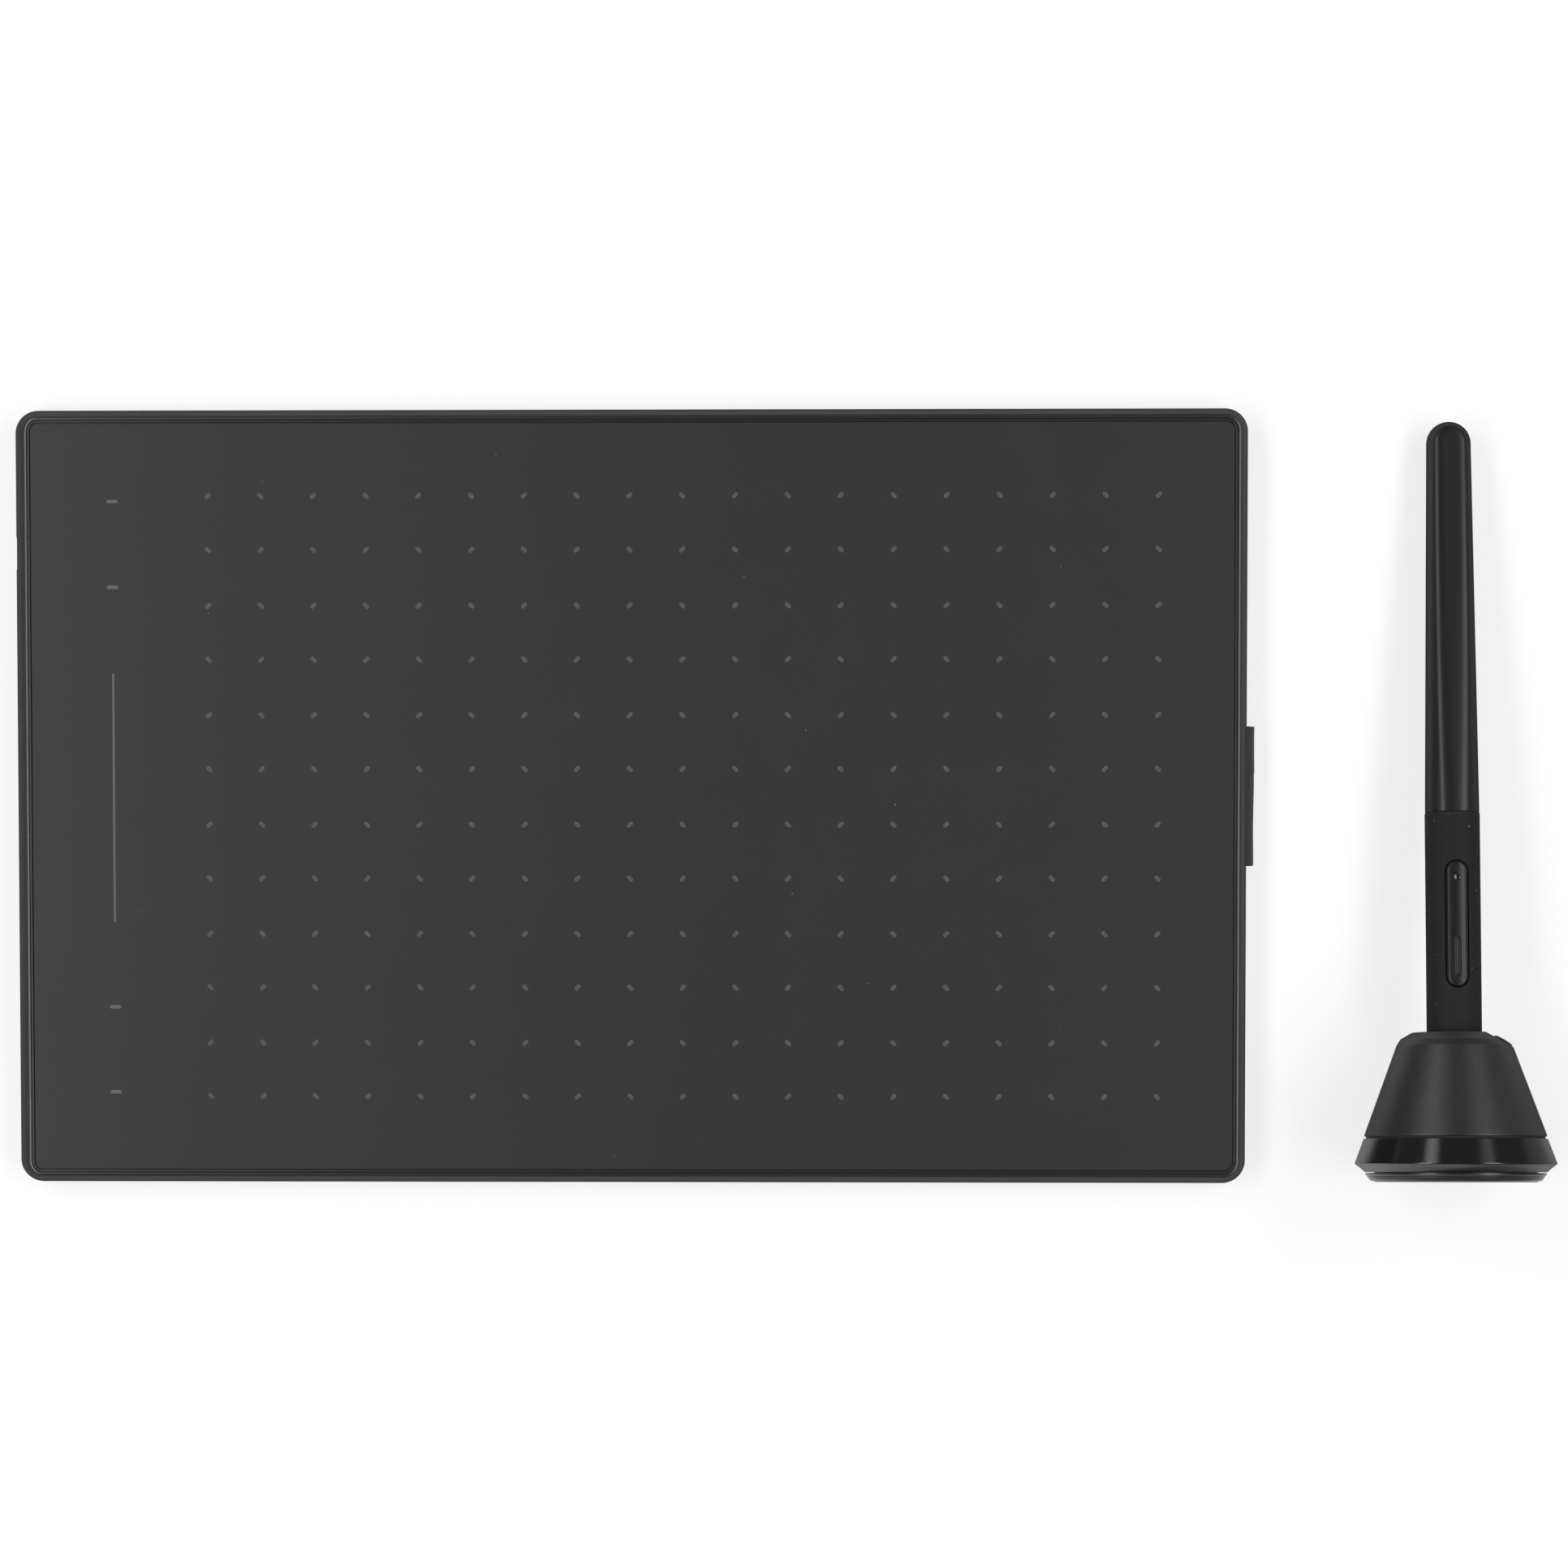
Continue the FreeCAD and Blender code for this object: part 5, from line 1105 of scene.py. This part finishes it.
class TABLET_OT_studio(Builder, bpy.types.Operator):
    """Pale floor, soft lamps and the camera above the set"""
    bl_idname = "tablet.studio"
    bl_label = "Studio"

    def build(self, scene):
        self.floor(scene)
        self.lamps(scene)
        self.camera(scene)
        self.surroundings(scene)
        scene.view_settings.view_transform = "Standard"

    def floor(self, scene):
        """Paper that looks white, of which reflections see only a pool round the set."""
        half, pool_full, pool_end, front_share = 3.0, 0.187, 0.22, 0.25
        mesh = bpy.data.meshes.new("studio_floor")
        mesh.from_pydata([(-half, -half, 0), (half, -half, 0), (half, half, 0), (-half, half, 0)],
                         [], [(0, 1, 2, 3)])
        floor = bpy.data.objects.new("studio_floor", mesh)
        scene.collection.objects.link(floor)
        material, tree, shader = blank_material("studio_paper")
        shader.inputs["Base Color"].default_value = (0.4, 0.4, 0.4, 1)
        shader.inputs["Roughness"].default_value = 0.9
        shader.inputs["Specular IOR Level"].default_value = 0.0
        shader.inputs["Emission Color"].default_value = (1, 1, 1, 1)
        rays = tree.nodes.new("ShaderNodeLightPath")
        split = tree.nodes.new("ShaderNodeSeparateXYZ")
        tree.links.new(tree.nodes.new("ShaderNodeTexCoord").outputs["Object"], split.inputs[0])
        depth = maths(tree, "MAXIMUM", split.outputs["Y"],
                      maths(tree, "MULTIPLY", split.outputs["Y"], -front_share))
        far = maths(tree, "MAXIMUM", maths(tree, "ABSOLUTE", split.outputs["X"]), depth)
        pool = smooth_ramp(tree, far, pool_full, pool_end, 1.0, 0.0)
        reflected = maths(tree, "MULTIPLY", rays.outputs["Is Glossy Ray"], pool)
        passed = maths(tree, "MAXIMUM", rays.outputs["Is Transmission Ray"], reflected)
        seen = maths(tree, "MAXIMUM", rays.outputs["Is Camera Ray"], passed)
        tree.links.new(maths(tree, "MULTIPLY", seen, scene.stage_looks.glow),
                       shader.inputs["Emission Strength"])
        mesh.materials.append(material)

    def lamps(self, scene):
        """A long soft lamp on either side, from in front of the set to well behind it."""
        distance, tilt = 1.25, math.radians(39)
        middle, front, width = 0.03, 0.75, 0.6
        for name, sign, power, back in (("left", -1, 1.5, 1.65), ("right", 1, 1.2, 1.2)):
            lamp = bpy.data.lights.new("strip_" + name, "AREA")
            lamp.shape = "RECTANGLE"
            lamp.size = width
            lamp.size_y = back + front
            lamp.energy = scene.stage_looks.lamp * power
            self.fade(lamp)
            item = bpy.data.objects.new("strip_" + name, lamp)
            item.location = (sign * distance * math.sin(tilt) + middle, (back - front) / 2,
                             distance * math.cos(tilt))
            item.rotation_euler = (0, sign * tilt, 0)
            scene.collection.objects.link(item)

    def fade(self, lamp):
        """Let the lamp's long edges and its far end fade out, as a diffuser's do."""
        lamp.use_nodes = True
        tree = lamp.node_tree
        place = tree.nodes.new("ShaderNodeNewGeometry").outputs["Parametric"]
        split = tree.nodes.new("ShaderNodeSeparateXYZ")
        tree.links.new(place, split.inputs[0])
        off = maths(tree, "ABSOLUTE", maths(tree, "SUBTRACT", split.outputs["X"], 0.5))
        along = smooth_ramp(tree, split.outputs["Y"], 1.0, 0.5, 0.0, 1.0)
        across = smooth_ramp(tree, off, 0.5, 0.12, 0.0, 1.0)
        shade = next(node for node in tree.nodes if node.type == "EMISSION")
        tree.links.new(maths(tree, "MULTIPLY", along, across), shade.inputs["Strength"])

    def camera(self, scene):
        """The photograph's view, from straight above the set."""
        lens = bpy.data.cameras.new("camera")
        lens.sensor_width = 36.0
        lens.lens = 87.36
        lens.shift_y = 0.0856
        lens.clip_start = 0.01
        item = bpy.data.objects.new("camera", lens)
        item.location = (0.017772, 0.006308, 0.894566)
        item.rotation_euler = [math.radians(angle) for angle in (-2.227, 1.064, -0.018)]
        scene.collection.objects.link(item)
        scene.camera = item

    def surroundings(self, scene):
        """Dim surroundings that look pale behind the set."""
        world = bpy.data.worlds.new("studio")
        world.use_nodes = True
        tree = world.node_tree
        shade = tree.nodes["Background"]
        shade.inputs["Color"].default_value = (1, 1, 1, 1)
        rays = tree.nodes.new("ShaderNodeLightPath")
        seen = maths(tree, "MAXIMUM", rays.outputs["Is Camera Ray"],
                     rays.outputs["Is Transmission Ray"])
        pale = maths(tree, "MULTIPLY", seen, scene.stage_looks.backdrop)
        tree.links.new(maths(tree, "MAXIMUM", pale, scene.stage_looks.sky),
                       shade.inputs["Strength"])
        scene.world = world


class TABLET_PT_panel(bpy.types.Panel):
    """The sidebar's list of pieces"""
    bl_label = "Graphics tablet set"
    bl_idname = "TABLET_PT_panel"
    bl_space_type = "VIEW_3D"
    bl_region_type = "UI"
    bl_category = "Tablet"

    def draw(self, context):
        for operator in OPERATORS:
            self.layout.operator(operator.bl_idname)


SETTINGS = {"tablet_looks": TabletLooks, "pen_looks": PenLooks, "stand_looks": StandLooks,
            "stage_looks": StageLooks}
OPERATORS = (TABLET_OT_housing, TABLET_OT_surface, TABLET_OT_marks, TABLET_OT_loop,
             TABLET_OT_pen_shell, TABLET_OT_grip, TABLET_OT_button, TABLET_OT_stand_cone,
             TABLET_OT_stand_base, TABLET_OT_fittings, TABLET_OT_studio)


def register():
    """Make the settings, the operators and the panel known."""
    for entry in (*SETTINGS.values(), *OPERATORS, TABLET_PT_panel):
        bpy.utils.register_class(entry)
    for name, entry in SETTINGS.items():
        setattr(bpy.types.Scene, name, PointerProperty(type=entry))


def unregister():
    """Take them back out."""
    for name in SETTINGS:
        delattr(bpy.types.Scene, name)
    for entry in (TABLET_PT_panel, *reversed(OPERATORS), *SETTINGS.values()):
        bpy.utils.unregister_class(entry)


def main():
    """Build every piece and the stage."""
    register()
    for operator in OPERATORS:
        family, name = operator.bl_idname.split(".")
        getattr(getattr(bpy.ops, family), name)()


if __name__ == "__main__":
    main()
